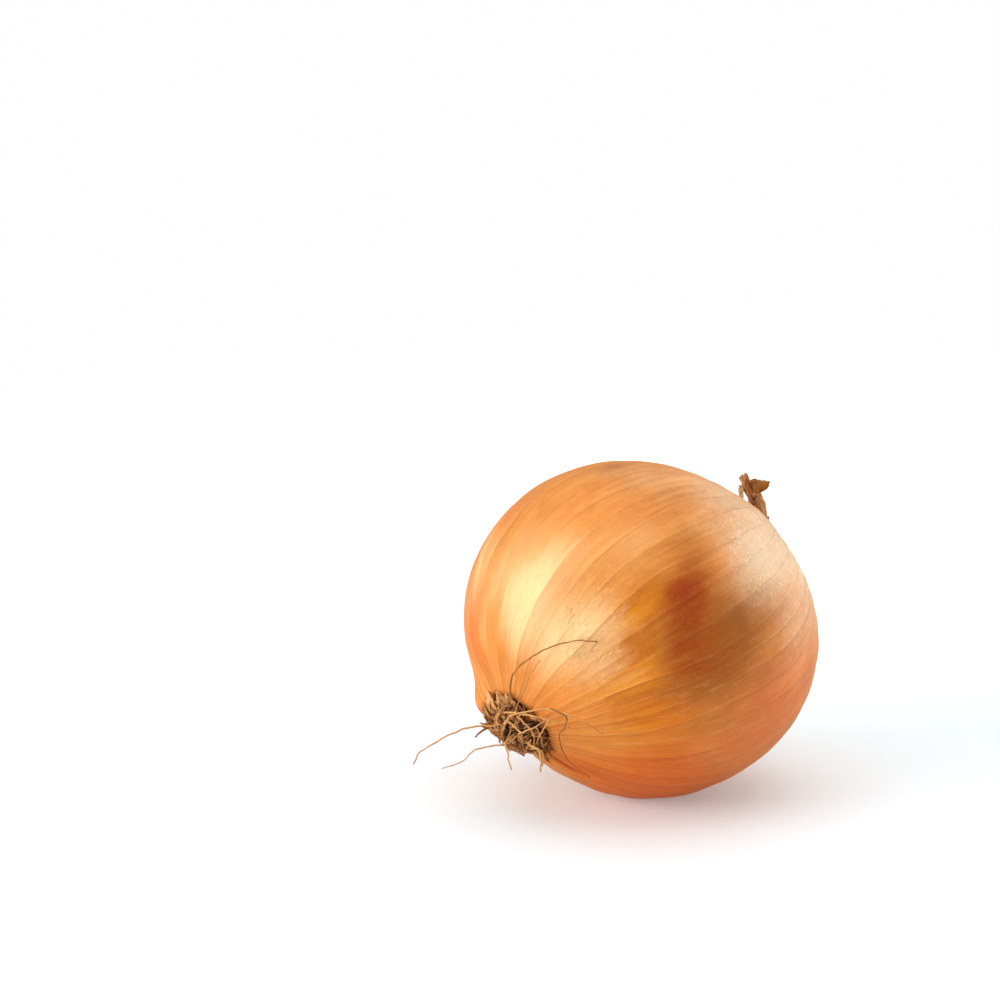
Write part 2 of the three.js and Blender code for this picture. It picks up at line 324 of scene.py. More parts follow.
def randomOf(tree, number):
    return addNode(tree, "ShaderNodeTexWhiteNoise", {"W": number}, noise_dimensions="1D").outputs[0]


def startMaterial(name):
    material = bpy.data.materials.new(name)
    material.use_nodes = True
    tree = material.node_tree
    return material, tree, tree.nodes["Principled BSDF"]


def parts(tree, vector):
    return addNode(tree, "ShaderNodeSeparateXYZ", {0: vector}).outputs


def attribute(tree, name):
    return addNode(tree, "ShaderNodeAttribute", {}, attribute_name=name).outputs["Vector"]


def placeOf(tree):
    # where a point is in millimetres, from the piece's own Object coordinates
    return scaled(tree, addNode(tree, "ShaderNodeTexCoord", {}).outputs["Object"], 1000)


def shaded(tree, colour, tone):
    # a colour made darker or lighter by a number
    grey = addNode(tree, "ShaderNodeCombineColor", {0: tone, 1: tone, 2: tone}).outputs[0]
    return blend(tree, 1.0, colour, grey, "MULTIPLY")


def addRelief(tree, shader, height):
    # heights in millimetres turned into the shader's normal
    bump = addNode(tree, "ShaderNodeBump", {"Strength": 1.0, "Distance": mm, "Height": height})
    tree.links.new(bump.outputs[0], shader.inputs["Normal"])


def paints(finish):
    # the colours of a finish, without its other values
    return {key: paint(*value) for key, value in finish.items() if np.shape(value) == (3,)}


# The skin's large patches of colour, each with its bearing and its angle from the root in
# degrees, how far it spreads both ways, and its strength
skinPatches = {
    "redBrown": [
        (-125, 84, 8, 9, 0.85), (-119, 79, 7, 7, 0.45), (-114, 73, 8, 7, 0.3), (-108, 69, 9, 7, 0.38),
        (-105, 80, 10, 8, 0.3), (-132, 94, 8, 7, 0.3), (-104, 74, 9, 9, 0.2), (42, 92, 12, 15, 0.5),
        (60, 76, 10, 12, 0.35)],
    "olive": [
        (-108, 88, 14, 14, 0.9), (-104, 74, 16, 13, 0.7), (-100, 64, 14, 12, 0.4),
        (-138, 98, 12, 11, 0.45), (-106, 105, 10, 8, 0.3), (-183, 111, 6, 9, 0.6), (70, 80, 18, 20, 0.6)],
    "pale": [
        (-118, 117, 13, 14, 0.9), (-113, 103, 10, 9, 0.28), (-114, 136, 26, 15, 0.8),
        (-138, 110, 9, 8, 0.2), (-150, 130, 22, 20, 0.35), (-171, 110, 13, 11, 0.25),
        (-88, 112, 14, 16, 0.45), (-80, 140, 60, 14, 0.4), (60, 140, 120, 18, 0.6),
        (20, 118, 20, 12, 0.4)],
    "gold": [
        (-131, 72, 10, 15, 0.95), (-118, 56, 13, 16, 0.8), (-184, 48, 9, 22, 0.4), (-97, 50, 20, 16, 0.8),
        (100, 60, 30, 26, 0.6)],
    "pink": [
        (-75, 96, 24, 26, 0.9), (-62, 74, 18, 26, 0.5), (-205, 84, 12, 40, 0.4), (10, 110, 40, 30, 0.6)],
    "deep": [
        (-55, 48, 22, 16, 0.9), (-208, 42, 14, 26, 0.7), (-20, 55, 40, 30, 0.8), (130, 90, 20, 40, 0.5),
        (-92, 58, 16, 12, 0.4), (-160, 92, 22, 20, 0.3), (-46, 24, 16, 12, 0.8)],
    # cream: paler skin that is partly a painted highlight, where the key light's broad reflection falls
    "creamAndHighlight": [
        (-170, 51, 13, 22, 0.92), (-161, 50, 10, 20, 0.45), (-150, 82, 14, 16, 0.3),
        (-146, 42, 14, 14, 0.75), (-189, 60, 13, 30, 0.38), (-136, 52, 12, 14, 0.75),
        (-124, 48, 12, 12, 0.45), (20, 60, 24, 20, 0.5), (150, 60, 20, 24, 0.4)],
    "wrinkled": [
        (-134, 48, 13, 14, 1.0), (-148, 60, 12, 12, 0.7), (-118, 40, 10, 10, 0.5), (60, 60, 30, 20, 0.7)],
    "smeared": [
        (-72, 66, 30, 26, 0.9), (-78, 94, 20, 22, 0.5), (-110, 44, 16, 14, 0.4), (-10, 80, 40, 30, 0.8),
        (120, 100, 30, 30, 0.7)],
}


def patchStrength(name, polar, bearing):
    # the named patches laid over each other like glazes, each a bell both ways
    clear = 1 + 0 * polar
    for middle, height, spread, reach, strength in skinPatches[name]:
        here = bell(bearingGap(bearing, np.radians(middle)), np.radians(spread))
        clear = clear * (1 - strength * here * bell(np.degrees(np.pi - polar) - height, reach))
    return 1 - clear


def makeBulb():
    # rings of veined skin from neck to root, with the edge and floor of the hollow at each end
    s = bulbShape
    columns = s["columnsPerVein"] * skinRelief["veinCount"]
    rows = s["rows"]
    turn, along = np.meshgrid(np.arange(columns) / columns, np.arange(rows) / (rows - 1))
    eased = along - s["rowEase"] * np.sin(fullTurn * along)
    ragged = 0.035 * (1 + latticeNoise(turn * 84, 0 * turn, 84, 12))
    polar = s["neckRim"] + (np.pi - s["neckRim"] - s["rootRim"] - ragged) * eased
    bearing = veinBearing(turn, polar)
    radius = skinRadius(polar, bearing) + reliefAt(turn, polar, bearing)
    points = directionOf(polar, bearing) * radius[..., None]
    points = points + ringCentre(points[..., 2])
    dip = np.maximum(0, points @ down - s["tableDrop"])
    points = points - dip[..., None] * down

    neckHeight = skinRadius(s["neckRim"], 0.0) * np.cos(s["neckRim"])
    rootHeight = -s["poleRadius"] * np.cos(s["rootRim"])
    ends = []
    for hole, height in [
        (s["neckHole"], neckHeight - s["neckRecess"]), (s["neckHole"], neckHeight - 0.3),
        (s["rootHole"], rootHeight + 0.3), (s["rootHole"], rootHeight + s["rootRecess"]),
    ]:
        ring = np.stack([hole * np.cos(bearing[0]), hole * np.sin(bearing[0]), 0 * bearing[0] + height], -1)
        ends.append(ring + ringCentre(np.array(height)))
    poles = []
    for height in (neckHeight - s["neckRecess"], rootHeight + s["rootRecess"]):
        poles.append(ringCentre(np.array(height)) + [0, 0, height])
    rings = np.concatenate([np.stack(ends[:2]), points, np.stack(ends[2:])])

    # the same values for the extra rings, taken from the edges next to them
    def stretchEnds(grid):
        return np.concatenate([grid[:1], grid[:1], grid, grid[-1:], grid[-1:]])

    girth = s["girthRadius"]
    arc = stretchEnds(np.pi - polar) * girth
    around = np.broadcast_to(turn[0] * fullTurn, arc.shape)
    flow = np.stack([girth * np.cos(around), girth * np.sin(around), arc], -1)
    polarAll, bearingAll = stretchEnds(polar), stretchEnds(bearing)
    patch = {name: patchStrength(name, polarAll, bearingAll) for name in skinPatches}
    fromRoot = np.degrees(np.pi - polarAll)
    # painted shadow in the crease where the torn skin folds over
    foldShadow = bell(foldGap(polarAll, bearingAll) + 0.045, 0.05) * ease(fromRoot, 9, 14)
    foldShadow = foldShadow * (1 - ease(fromRoot, 20, 30))
    # darker brown round the roots
    darkerNearRoot = 1 - ease(fromRoot, 11, 19)
    spacing = fullTurn / skinRelief["veinCount"] * girth * np.sin(polarAll)

    def atPoints(grid):
        flat = grid.reshape(-1, *grid.shape[2:])
        return np.concatenate([flat[:1], flat, flat[-1:]])

    values = {
        "flow": atPoints(flow),
        "stainFilmAndRoot": atPoints(np.stack([patch["redBrown"], patch["pale"], darkerNearRoot], -1)),
        "tones": atPoints(np.stack([patch["gold"], patch["pink"], patch["deep"]], -1)),
        "oliveFoldShadowSpacing": atPoints(np.stack([patch["olive"], foldShadow, spacing], -1)),
        "surface": atPoints(np.stack([patch["creamAndHighlight"], patch["wrinkled"], patch["smeared"]], -1)),
    }
    quads, tris = ringFaces(rows + 4, columns)
    # the vein map counts veins across without a jump where the turn closes
    vein = np.arange(columns + 1) / s["columnsPerVein"]
    lengthwise = stretchEnds(along)[:, 0]
    left, right = vein[:-1], vein[1:]
    quadU = np.broadcast_to(np.stack([left, left, right, right], -1), (rows + 3, columns, 4))
    quadV = np.stack([lengthwise[:-1], lengthwise[1:], lengthwise[1:], lengthwise[:-1]], -1)
    quadV = np.broadcast_to(quadV[:, None, :], (rows + 3, columns, 4))
    triU = np.concatenate([np.stack([left, left, right], -1), np.stack([left, right, left], -1)])
    triV = np.concatenate([np.zeros((columns, 3)), np.ones((columns, 3))])
    u = np.concatenate([quadU.ravel(), triU.ravel()])
    v = np.concatenate([quadV.ravel(), triV.ravel()])
    allPoints = np.concatenate([poles[0][None], rings.reshape(-1, 3), poles[1][None]])
    return makePiece("bulb_skin", allPoints, quads, tris, values, np.stack([u, v], -1))


skinFinish = {
    "base": (224, 147, 68),
    "streak": (214, 124, 48),
    "deep": (224, 106, 24),
    "gold": (226, 142, 32),
    "goldDark": (196, 104, 14),
    # pale cream, partly a painted highlight
    "creamAndHighlight": (250, 205, 148),
    "pink": (234, 130, 68),
    "pale": (229, 199, 163),
    # crazing of the dry film, partly painted glints where its crinkles catch the light
    "crazeAndGlint": (254, 240, 216),
    "redBrown": (157, 52, 0),
    "brown": (172, 79, 6),
    "olive": (162, 84, 14),
    "vein": (168, 80, 18),
    # a painted highlight for the lit side of vein and wrinkle ridges
    "ridgeHighlight": (252, 208, 136),
    "smear": (240, 186, 130),
    "darkerNearRoot": (160, 92, 36),
    # painted shadow in the crease of the fold
    "foldShadow": (150, 48, 6),
    "roughness": 0.43,
    "specular": 0.36,
    "specularTint": (1.0, 0.84, 0.56, 1.0),
    "subsurface": 0.04,
    # how much each texture lightens the skin, the painted shade behind each vein darkening it,
    # and how high each stands in millimetres
    "tones": {"paler": 0.1, "darker": -0.1, "grain": 0.3, "hairline": 0.2, "mottle": 0.3, "shadeBehindVein": -0.1},
    "heights": {"vein": 0.03, "fibre": 0.07, "hairline": 0.02, "grain": 0.045, "worms": 0.08,
                "mottle": 0.12, "wrinkles": 0.16},
}


def makeSkinMaterial():
    material, tree, shader = startMaterial("dry_skin")
    c = paints(skinFinish)
    flow = attribute(tree, "flow")
    redBrown, pale, darkerNearRoot = parts(tree, attribute(tree, "stainFilmAndRoot"))
    gold, pink, deep = parts(tree, attribute(tree, "tones"))
    olive, foldShadow, spacing = parts(tree, attribute(tree, "oliveFoldShadowSpacing"))
    creamAndHighlight, wrinkled, smeared = parts(tree, attribute(tree, "surface"))
    place = placeOf(tree)
    vein = parts(tree, addNode(tree, "ShaderNodeUVMap", {}, uv_map="veins").outputs[0])[0]
    lengthwise = parts(tree, flow)[2]

    # distance to the nearest vein in millimetres, and which side of it
    sway = noise(tree, scaled(tree, flow, 0.1, 0.1, 0.12), 2.0)
    phase = plus(tree, vein, swing(tree, sway, 0.05))
    inPanel = calc(tree, "FRACT", phase)
    side = calc(tree, "SUBTRACT", calc(tree, "FRACT", plus(tree, phase, 0.5)), 0.5)
    offset = times(tree, side, spacing)
    nearest = calc(tree, "ROUND", phase)
    fading = noise(tree, scaled(tree, flow, 0.16, 0.16, 0.05), 2.0)
    strength = times(tree, remap(tree, fading, 0.36, 0.62), randomOf(tree, nearest))
    strength = plus(tree, times(tree, strength, 0.8), 0.15)
    awayFrom = calc(tree, "ABSOLUTE", offset)
    veinLine = times(tree, remap(tree, awayFrom, 0.06, 0.3, 1.0, 0.0), strength)
    # a painted highlight along the lit side just before each vein
    before = calc(tree, "ABSOLUTE", plus(tree, offset, 0.42))
    veinHighlight = times(tree, remap(tree, before, 0.08, 0.5, 1.0, 0.0), strength)
    # painted shade in the panel just past each vein
    after = times(tree, remap(tree, inPanel, 0.0, 0.4, 1.0, 0.0), strength)

    # each panel's own tone drifts along its length
    whole = calc(tree, "FLOOR", phase)
    drift = {0: times(tree, whole, 3.71), 1: times(tree, lengthwise, 0.035), 2: 0.0}
    panelTone = noise(tree, addNode(tree, "ShaderNodeCombineXYZ", drift).outputs[0], 1.0)

    # thin fibres that run with the veins, soft clouds and fine crazing
    broad = noise(tree, scaled(tree, flow, 0.28, 0.28, 0.03), 3.0)
    fibre = noise(tree, scaled(tree, flow, 0.9, 0.9, 0.05), 4.0, 0.6)
    hairline = noise(tree, scaled(tree, flow, 3.4, 3.4, 0.12), 3.0, 0.6)
    grain = noise(tree, scaled(tree, flow, 2.6, 2.6, 0.9), 3.0, 0.65)
    clouds = noise(tree, scaled(tree, place, 0.09), 3.0)
    mottle = noise(tree, scaled(tree, place, 0.3), 3.0, 0.6)
    contour = noise(tree, scaled(tree, place, 0.42), 1.0, 0.5, 0.8)
    contour = calc(tree, "FRACT", times(tree, contour, 5.0))
    worms = remap(tree, calc(tree, "ABSOLUTE", calc(tree, "SUBTRACT", contour, 0.5)), 0.04, 0.17, 1.0, 0.0)
    broken = remap(tree, noise(tree, scaled(tree, place, 0.7), 2.0), 0.38, 0.54)
    worms = times(tree, worms, broken)
    ridges = noise(tree, scaled(tree, flow, 0.5, 0.5, 0.15), 3.0, 0.55, 1.3)
    ridges = remap(tree, calc(tree, "ABSOLUTE", calc(tree, "SUBTRACT", ridges, 0.5)), 0.0, 0.06, 1.0, 0.0)

    def spread(mask, texture, amount):
        # a patch whose edge is broken up by a texture
        return plus(tree, mask, swing(tree, texture, amount))

    colour = blend(tree, remap(tree, fibre, 0.35, 0.7), c["base"], c["streak"])
    goldTone = blend(tree, remap(tree, broad, 0.35, 0.65), c["goldDark"], c["gold"])
    colour = blend(tree, remap(tree, spread(gold, broad, 0.7), 0.1, 0.9), colour, goldTone)
    colour = blend(tree, remap(tree, spread(deep, broad, 0.6), 0.1, 0.9, 0.0, 0.9), colour, c["deep"])
    colour = blend(tree, remap(tree, spread(pink, clouds, 0.7), 0.1, 0.9, 0.0, 0.9), colour, c["pink"])
    # pale cream skin that is partly a painted highlight, broken up panel by panel and along the fibres
    creamHighlightTone = spread(spread(creamAndHighlight, panelTone, 0.9), fibre, 0.7)
    colour = blend(tree, remap(tree, creamHighlightTone, 0.1, 0.95, 0.0, 0.88), colour, c["creamAndHighlight"])
    colour = blend(tree, remap(tree, spread(olive, clouds, 0.5), 0.05, 0.9, 0.0, 0.8), colour, c["olive"])
    film = remap(tree, spread(spread(pale, clouds, 0.4), mottle, 0.22), 0.0, 1.0, 0.0, 0.9)
    colour = blend(tree, film, colour, c["pale"])
    stainEdge = spread(spread(spread(redBrown, broad, 0.7), mottle, 0.55), fibre, 0.3)
    colour = blend(tree, remap(tree, stainEdge, 0.02, 0.65, 0.0, 0.85), colour, c["brown"])
    colour = blend(tree, remap(tree, stainEdge, 0.35, 0.95), colour, c["redBrown"])

    # panels lighter or darker than their neighbours, fine grain, painted shade past each vein, veins
    # with painted highlights beside them, wrinkles with painted highlights on their ridges, and smears
    textures = {
        "paler": remap(tree, panelTone, 0.5, 0.72), "darker": remap(tree, panelTone, 0.5, 0.3),
        "grain": grain, "hairline": hairline, "mottle": mottle, "shadeBehindVein": after,
    }
    middle = 1 - 0.5 * sum(skinFinish["tones"][key] for key in ("grain", "hairline", "mottle"))
    colour = shaded(tree, colour, plus(tree, weighted(tree, textures, skinFinish["tones"]), middle))
    colour = blend(tree, times(tree, veinLine, 0.6), colour, c["vein"])
    # the painted highlight beside each vein is stronger where the painted cream highlight lies
    veinHighlightShare = plus(tree, times(tree, creamAndHighlight, 0.4), 0.1)
    colour = blend(tree, times(tree, veinHighlight, veinHighlightShare), colour, c["ridgeHighlight"])
    # painted highlights along the ridges of the wrinkles
    wrinkleLine = times(tree, times(tree, ridges, wrinkled), remap(tree, mottle, 0.4, 0.6))
    colour = blend(tree, times(tree, wrinkleLine, 0.6), colour, c["ridgeHighlight"])
    smear = noise(tree, scaled(tree, flow, 0.46, 0.46, 0.15), 4.0, 0.66, 0.9)
    smear = times(tree, remap(tree, smear, 0.52, 0.72), smeared)
    smear = times(tree, smear, remap(tree, hairline, 0.35, 0.6, 0.2, 0.55))
    colour = blend(tree, smear, colour, c["smear"])
    # crazed lines on the pale film, near-white: partly real crazing, partly painted glints
    wormShare = plus(tree, remap(tree, pale, 0.15, 0.8, 0.0, 0.5), 0.02)
    colour = blend(tree, times(tree, worms, wormShare), colour, c["crazeAndGlint"])
    # painted shadow along the fold's crease
    colour = blend(tree, times(tree, foldShadow, 0.85), colour, c["foldShadow"])
    # darker brown round the roots
    stain = remap(tree, spread(darkerNearRoot, fibre, 1.0), 0.3, 1.0, 0.0, 0.8)
    colour = blend(tree, stain, colour, c["darkerNearRoot"])
    tree.links.new(colour, shader.inputs["Base Color"])

    textures.update(vein=remap(tree, awayFrom, 0.0, 0.4, 1.0, 0.0), fibre=fibre,
                    worms=times(tree, worms, film), wrinkles=wrinkleLine)
    addRelief(tree, shader, weighted(tree, textures, skinFinish["heights"]))
    gloss = plus(tree, swing(tree, fibre, 0.22), skinFinish["roughness"])
    gloss = plus(tree, gloss, times(tree, film, 0.08))
    tree.links.new(gloss, shader.inputs["Roughness"])
    shader.inputs["Subsurface Weight"].default_value = skinFinish["subsurface"]
    shader.inputs["Subsurface Radius"].default_value = (1.0, 0.6, 0.3)
    shader.inputs["Subsurface Scale"].default_value = 0.002
    shader.inputs["Specular IOR Level"].default_value = skinFinish["specular"]
    shader.inputs["Specular Tint"].default_value = skinFinish["specularTint"]
    return material


bulb = makeBulb()
bulb.data.materials.append(makeSkinMaterial())
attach(bulb, "root")
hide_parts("bulb")
print("bulb done")


def liftClear(points, clearance):
    # moves points straight out from the ring centres until they stand clear of the skin
    centre = ringCentre(points[..., 2])
    out = points - centre
    distance = np.linalg.norm(out, axis=-1)
    polar = np.arccos(np.clip(out[..., 2] / distance, -1, 1))
    needed = skinRadius(polar, np.arctan2(out[..., 1], out[..., 0])) + clearance
    return centre + out * np.maximum(1, needed / distance)[..., None]


def overRootEnd(x, y, lift):
    # a place over the root end: x and y across the axis, and a height over the skin or the plate
    r = np.hypot(x, y)
    polar, bearing = np.pi - r / bulbShape["poleRadius"], np.arctan2(y, x)
    dome = rootEnd["domeOverSkin"] * np.clip(1 - (r / rootEnd["plateRadius"]) ** 2, 0, 1)
    point = directionOf(polar, bearing) * (skinRadius(polar, bearing) + dome + lift)[..., None]
    return point + ringCentre(point[..., 2])


def keepIn(x, y):
    # draws places beyond the plate's edge back towards it on the side that lies on the skin's fold
    r = np.maximum(np.hypot(x, y), 1e-6)
    share = 1 - 0.75 * np.maximum(0, r - 6.4) / r * bell(bearingGap(np.arctan2(y, x), np.radians(-12)), 0.9)
    return x * share, y * share


def smoothRoute(route, count, kinked=0.0):
    # a Catmull-Rom curve through the route's points, drawn towards straight lines where kinked
    route = np.array(route, float)
    padded = np.concatenate([[2 * route[0] - route[1]], route, [2 * route[-1] - route[-2]]])
    place = np.linspace(0, len(route) - 1, count)
    i = np.minimum(place.astype(int), len(route) - 2)
    t = (place - i)[:, None]
    a, b, c, d = padded[i], padded[i + 1], padded[i + 2], padded[i + 3]
    curve = 2 * b + (c - a) * t + (2 * a - 5 * b + 4 * c - d) * t ** 2 + (3 * b - a - 3 * c + d) * t ** 3
    return 0.5 * curve * (1 - kinked) + (b + (c - b) * t) * kinked


def makeTubes(paths, radii, sides, flatness=1.0, facing=None):
    # rings of an ellipse carried along many paths at once, closed at both ends: the radius
    # across and the same times the flatness through
    count, steps = paths.shape[:2]
    heading = unit(np.gradient(paths, axis=1))
    if facing is None:
        spread = paths - paths.mean(axis=1, keepdims=True)
        facing = np.linalg.svd(spread, full_matrices=False)[2][:, 2]
    facing = np.broadcast_to(facing.reshape(count, -1, 3), paths.shape)
    up = unit(facing - (facing * heading).sum(-1, keepdims=True) * heading)
    across = np.cross(heading, up)
    angle = -fullTurn * np.arange(sides) / sides
    ring = (up[:, :, None] * flatness * np.cos(angle)[:, None] + across[:, :, None] * np.sin(angle)[:, None])
    rings = paths[:, :, None] + ring * radii[:, :, None, None]
    body = rings.reshape(count, steps * sides, 3)
    points = np.concatenate([paths[:, :1], body, paths[:, -1:]], axis=1)
    quads, tris = ringFaces(steps, sides)
    shift = (np.arange(count) * (steps * sides + 2))[:, None, None]
    return points, (quads + shift).reshape(-1, 4), (tris + shift).reshape(-1, 3)


def perPoint(values, sides):
    # values at the steps of each path, repeated for the points round it and for both ends
    body = np.repeat(values, sides, axis=1)
    return np.concatenate([values[:, :1], body, values[:, -1:]], axis=1)


def joinPieces(batches):
    # many point and face arrays as one, with their face numbers shifted
    points, quads, tris, tints = [], [], [], []
    base = 0
    for batchPoints, batchQuads, batchTris, batchTint in batches:
        flat = batchPoints.reshape(-1, 3)
        points.append(flat)
        quads.append(batchQuads + base)
        tris.append(batchTris + base)
        tints.append(batchTint.reshape(len(flat), -1))
        base += len(flat)
    return np.concatenate(points), np.concatenate(quads), np.concatenate(tris), np.concatenate(tints)


rootEnd = {
    "plateRadius": 7.2,
    "plateDome": 3.6,
    "domeOverSkin": 2.9,
    "longRootShare": 0.76,    # of the radius that each long root is given
    "kink": 0.14,
    "matRoots": 120,
    "matSteps": 9,
    "edgeRoots": 46,
    "hairRoots": 40,
    "scales": 60,
}

# Long roots: each from the plate to its tip, with its radius in millimetres, how straw-pale it is
# and how kinked
longRoots = [
    ([(-5.4, 4.2, -40.2), (-10.5, 1.6, -42.6), (-13.9, -2.2, -41.1), (-19.9, -4.2, -38.5),
      (-23.6, -8.7, -35.5), (-25.2, -12.9, -32.5), (-25.8, -16.1, -30.1), (-25.6, -19.5, -27.7),
      (-23.8, -22.9, -24.9)], 0.3, 0.3, 0.2),
    ([(-5, 1.5, -40), (-8.4, -0.3, -41.5), (-16.9, -7.1, -39.1), (-20.5, -9.4, -37), (-23.2, -11.7, -34.2)],
     0.2, 0.6, 0.3),
    ([(-4.5, 1.5, -40.5), (-9.5, -1.2, -42), (-12.4, -7.9, -41.3), (-13.1, -12.7, -39.6),
      (-11, -16.8, -37.6), (-7.5, -19.5, -35.7), (-2.7, -21.3, -33.9)], 0.24, 0.8, 0.1),
    ([(-13.1, -14, -38.9), (-10.6, -16.9, -37.9), (-7.8, -15.8, -38.6), (-5.2, -13.3, -39.7),
      (-0.2, -11.7, -40), (5.8, -10.7, -39), (11.9, -11, -36.5)], 0.22, 0.2, 0.2),
    ([(-4, 1, -40.5), (-10.6, -4.3, -41.6), (-11, -9.2, -41), (-9.4, -12.7, -39.5), (-6, -15.2, -37.3)],
     0.2, 0.95, 0.3),
    ([(-5, 4, -40), (-6.4, 5.4, -44.2), (-7.6, 7.2, -46.3), (-9.3, 8.6, -49.5), (-10, 11, -55.1),
      (-10, 12.9, -60.2), (-8.4, 13.5, -63)], 0.32, 0.75, 0.1),
    ([(-2.5, 1, -40.5), (-3, 0.8, -44.6), (-3.8, 1.1, -46.6), (-5.8, 1.7, -49.7), (-7.5, 2.1, -52.8),
      (-7.7, 2.3, -57.2), (-9.2, 3.8, -61.8)], 0.27, 0.85, 0.3),
    ([(-2.5, 2, -40.5), (-3.4, 1.4, -45.2), (-2.5, -1.8, -48.1), (-0.4, -3.6, -50)], 0.34, 0.7, 0.2),
    ([(-1, 0, -40.5), (-1.5, -3.2, -42.6), (-2.4, -7.4, -43.5), (-1, -9.3, -44.6), (1.2, -9.7, -46.8)],
     0.36, 0.75, 0.1),
    ([(-4.6, 5.4, -40), (-6, 6.6, -43.5), (-6.3, 6.5, -45.2), (-5.8, 7.9, -48.4)], 0.46, 0.0, 0.3),
    ([(-6, 2.2, -41.2), (-8, 1.1, -42.4), (-5.9, -3.5, -43), (-8, -8.2, -42), (-10, -12.5, -39.2)],
     0.27, 0.95, 0.85),
    ([(-10, -12.5, -39.2), (-8.6, -11.3, -40.2), (-7.1, -10, -40.9), (-4, -7, -41.5), (-1, -4.3, -41.6)],
     0.26, 0.9, 0.5),
    ([(4.6, 11.5, -41.2), (2, 8.8, -42.6), (-0.7, 4.8, -43), (-3.3, 0.2, -42.5)], 0.3, 0.95, 0.6),
    ([(-1.4, 9.3, -41.7), (-4.8, 7.6, -42.3), (-7.8, 5.3, -42.1), (-11.8, 1.2, -40.8)], 0.27, 0.7, 0.5),
    ([(-7.9, 6.3, -40.6), (-7.4, 5.4, -42.2), (-6.8, 4.8, -43), (-5.2, 4, -44)], 0.26, 0.85, 0.3),
    ([(-5.9, -3.5, -43), (-4.4, -1.2, -42.8), (-2.9, -1.2, -42.6), (-0.6, -1.4, -42)], 0.28, 0.8, 0.5),
    ([(-9.6, -0.6, -41.6), (-7.2, 1.9, -42.6), (-4.6, 3.8, -43), (-2.2, 6.2, -42.4)], 0.26, 0.85, 0.5),
    ([(-10.8, -3.2, -41.5), (-10.5, -0.2, -42.1), (-8.8, 3.9, -42), (-5.6, 6.1, -42.7), (0.3, 10.4, -41.6)],
     0.3, 0.9, 0.3),
    ([(-10.8, -3.2, -41.5), (-8.8, 0.1, -42.4), (-4.4, 5.4, -42.7)], 0.27, 0.85, 0.3),
    ([(-4.4, -2, -42.5), (-2, -1.2, -42.6), (2.9, 3.5, -41.5)], 0.3, 0.6, 0.3),
    ([(-8.1, 0.6, -42), (-4.5, 4.3, -42.9), (1.8, 8.9, -41.8)], 0.36, 0.6, 0.2),
    ([(-6.4, 0.8, -41.9), (-3.4, 2.7, -42.6), (2.9, 8.7, -41.6)], 0.3, 0.35, 0.3),
    ([(-7.1, -5, -41.5), (-4.9, -6.4, -42), (-0.3, -3.4, -41.9)], 0.32, 0.55, 0.2),
    ([(-6.6, -7.2, -40.8), (-4.2, -7.9, -41.5), (-0.4, -6.2, -41.3)], 0.3, 0.45, 0.3),
    ([(-9, -1.9, -41.1), (-8.1, -5.2, -41.9), (-6, -6.3, -41.6)], 0.28, 0.75, 0.3),
    ([(-6.2, 3.3, -41.9), (-3.4, 5.6, -42.9), (3.3, 12, -41.1)], 0.3, 0.4, 0.3),
    ([(-10.7, -4.8, -40.9), (-10.5, -8.1, -40.7), (-8.6, -9.3, -40.2)], 0.22, 0.7, 0.3),
    ([(-1.3, 3.6, -42.2), (1.6, 3.3, -42.3), (3.7, 1.9, -41.5)], 0.34, 0.5, 0.2),
    ([(3, 10.5, -41.3), (3.6, 7.2, -42.1), (4.7, 4.8, -41.5)], 0.34, 0.35, 0.3),
    ([(-2.6, -3.7, -41.8), (0.8, -0.7, -42.5), (5.1, 3.7, -41.7)], 0.28, 0.6, 0.3),
    ([(1.1, -1, -41.9), (-0.8, -5.5, -42.4), (1.4, -6.2, -42.1), (7.8, -0.6, -41)], 0.26, 0.85, 0.2),
    ([(4, -3, -40.4), (5.4, -2.2, -40), (7.9, -1.8, -39.1), (9.9, -1.8, -38.3)], 0.28, 0.1, 0.3),
    ([(-12.6, 1.6, -39), (-13.5, 0.5, -39.2), (-13.2, -2, -39.2), (-12, -2.6, -39.3)], 0.24, 0.0, 0.3),
]

# Flat flakes of old skin on the side away from the table: the line down the middle, half the
# width, how straw-pale and how lit each one is, lower being darker as painted shade
flakes = [
    ([(-6.6, 8.1, -40.7), (-8.9, 8.8, -40), (-11.5, 9.8, -38.9)], 1.6, 1.3, 1.0),
    ([(-7.7, 6.1, -39.8), (-10.4, 5.5, -39.5), (-12.5, 5.5, -38.9)], 0.9, 0.9, 0.95),
    ([(-2.4, 11.1, -40.7), (-6, 9.9, -41.8), (-7.8, 10.8, -41.2)], 1.2, 0.5, 0.9),
    ([(1, 13.4, -40.6), (-2.3, 12.3, -41.4), (-5.7, 11.4, -42)], 1.0, 0.15, 0.85),
    ([(-8.5, 3.2, -39.7), (-11.2, 2, -39.5), (-13, 1.8, -39)], 0.7, 0.6, 0.9),
    ([(4.1, 12.7, -40.6), (1.9, 13.5, -40.7), (-1.2, 12.9, -41.5)], 0.9, 0.1, 0.8),
    ([(-7.2, 8.9, -41.3), (-9, 9.3, -40.6), (-10.8, 8.5, -39.5)], 0.7, 1.0, 1.0),
    ([(-4.7, 6.7, -41.4), (-7, 7.2, -40.9), (-9.1, 7.5, -40.1)], 0.8, 0.8, 0.95),
]

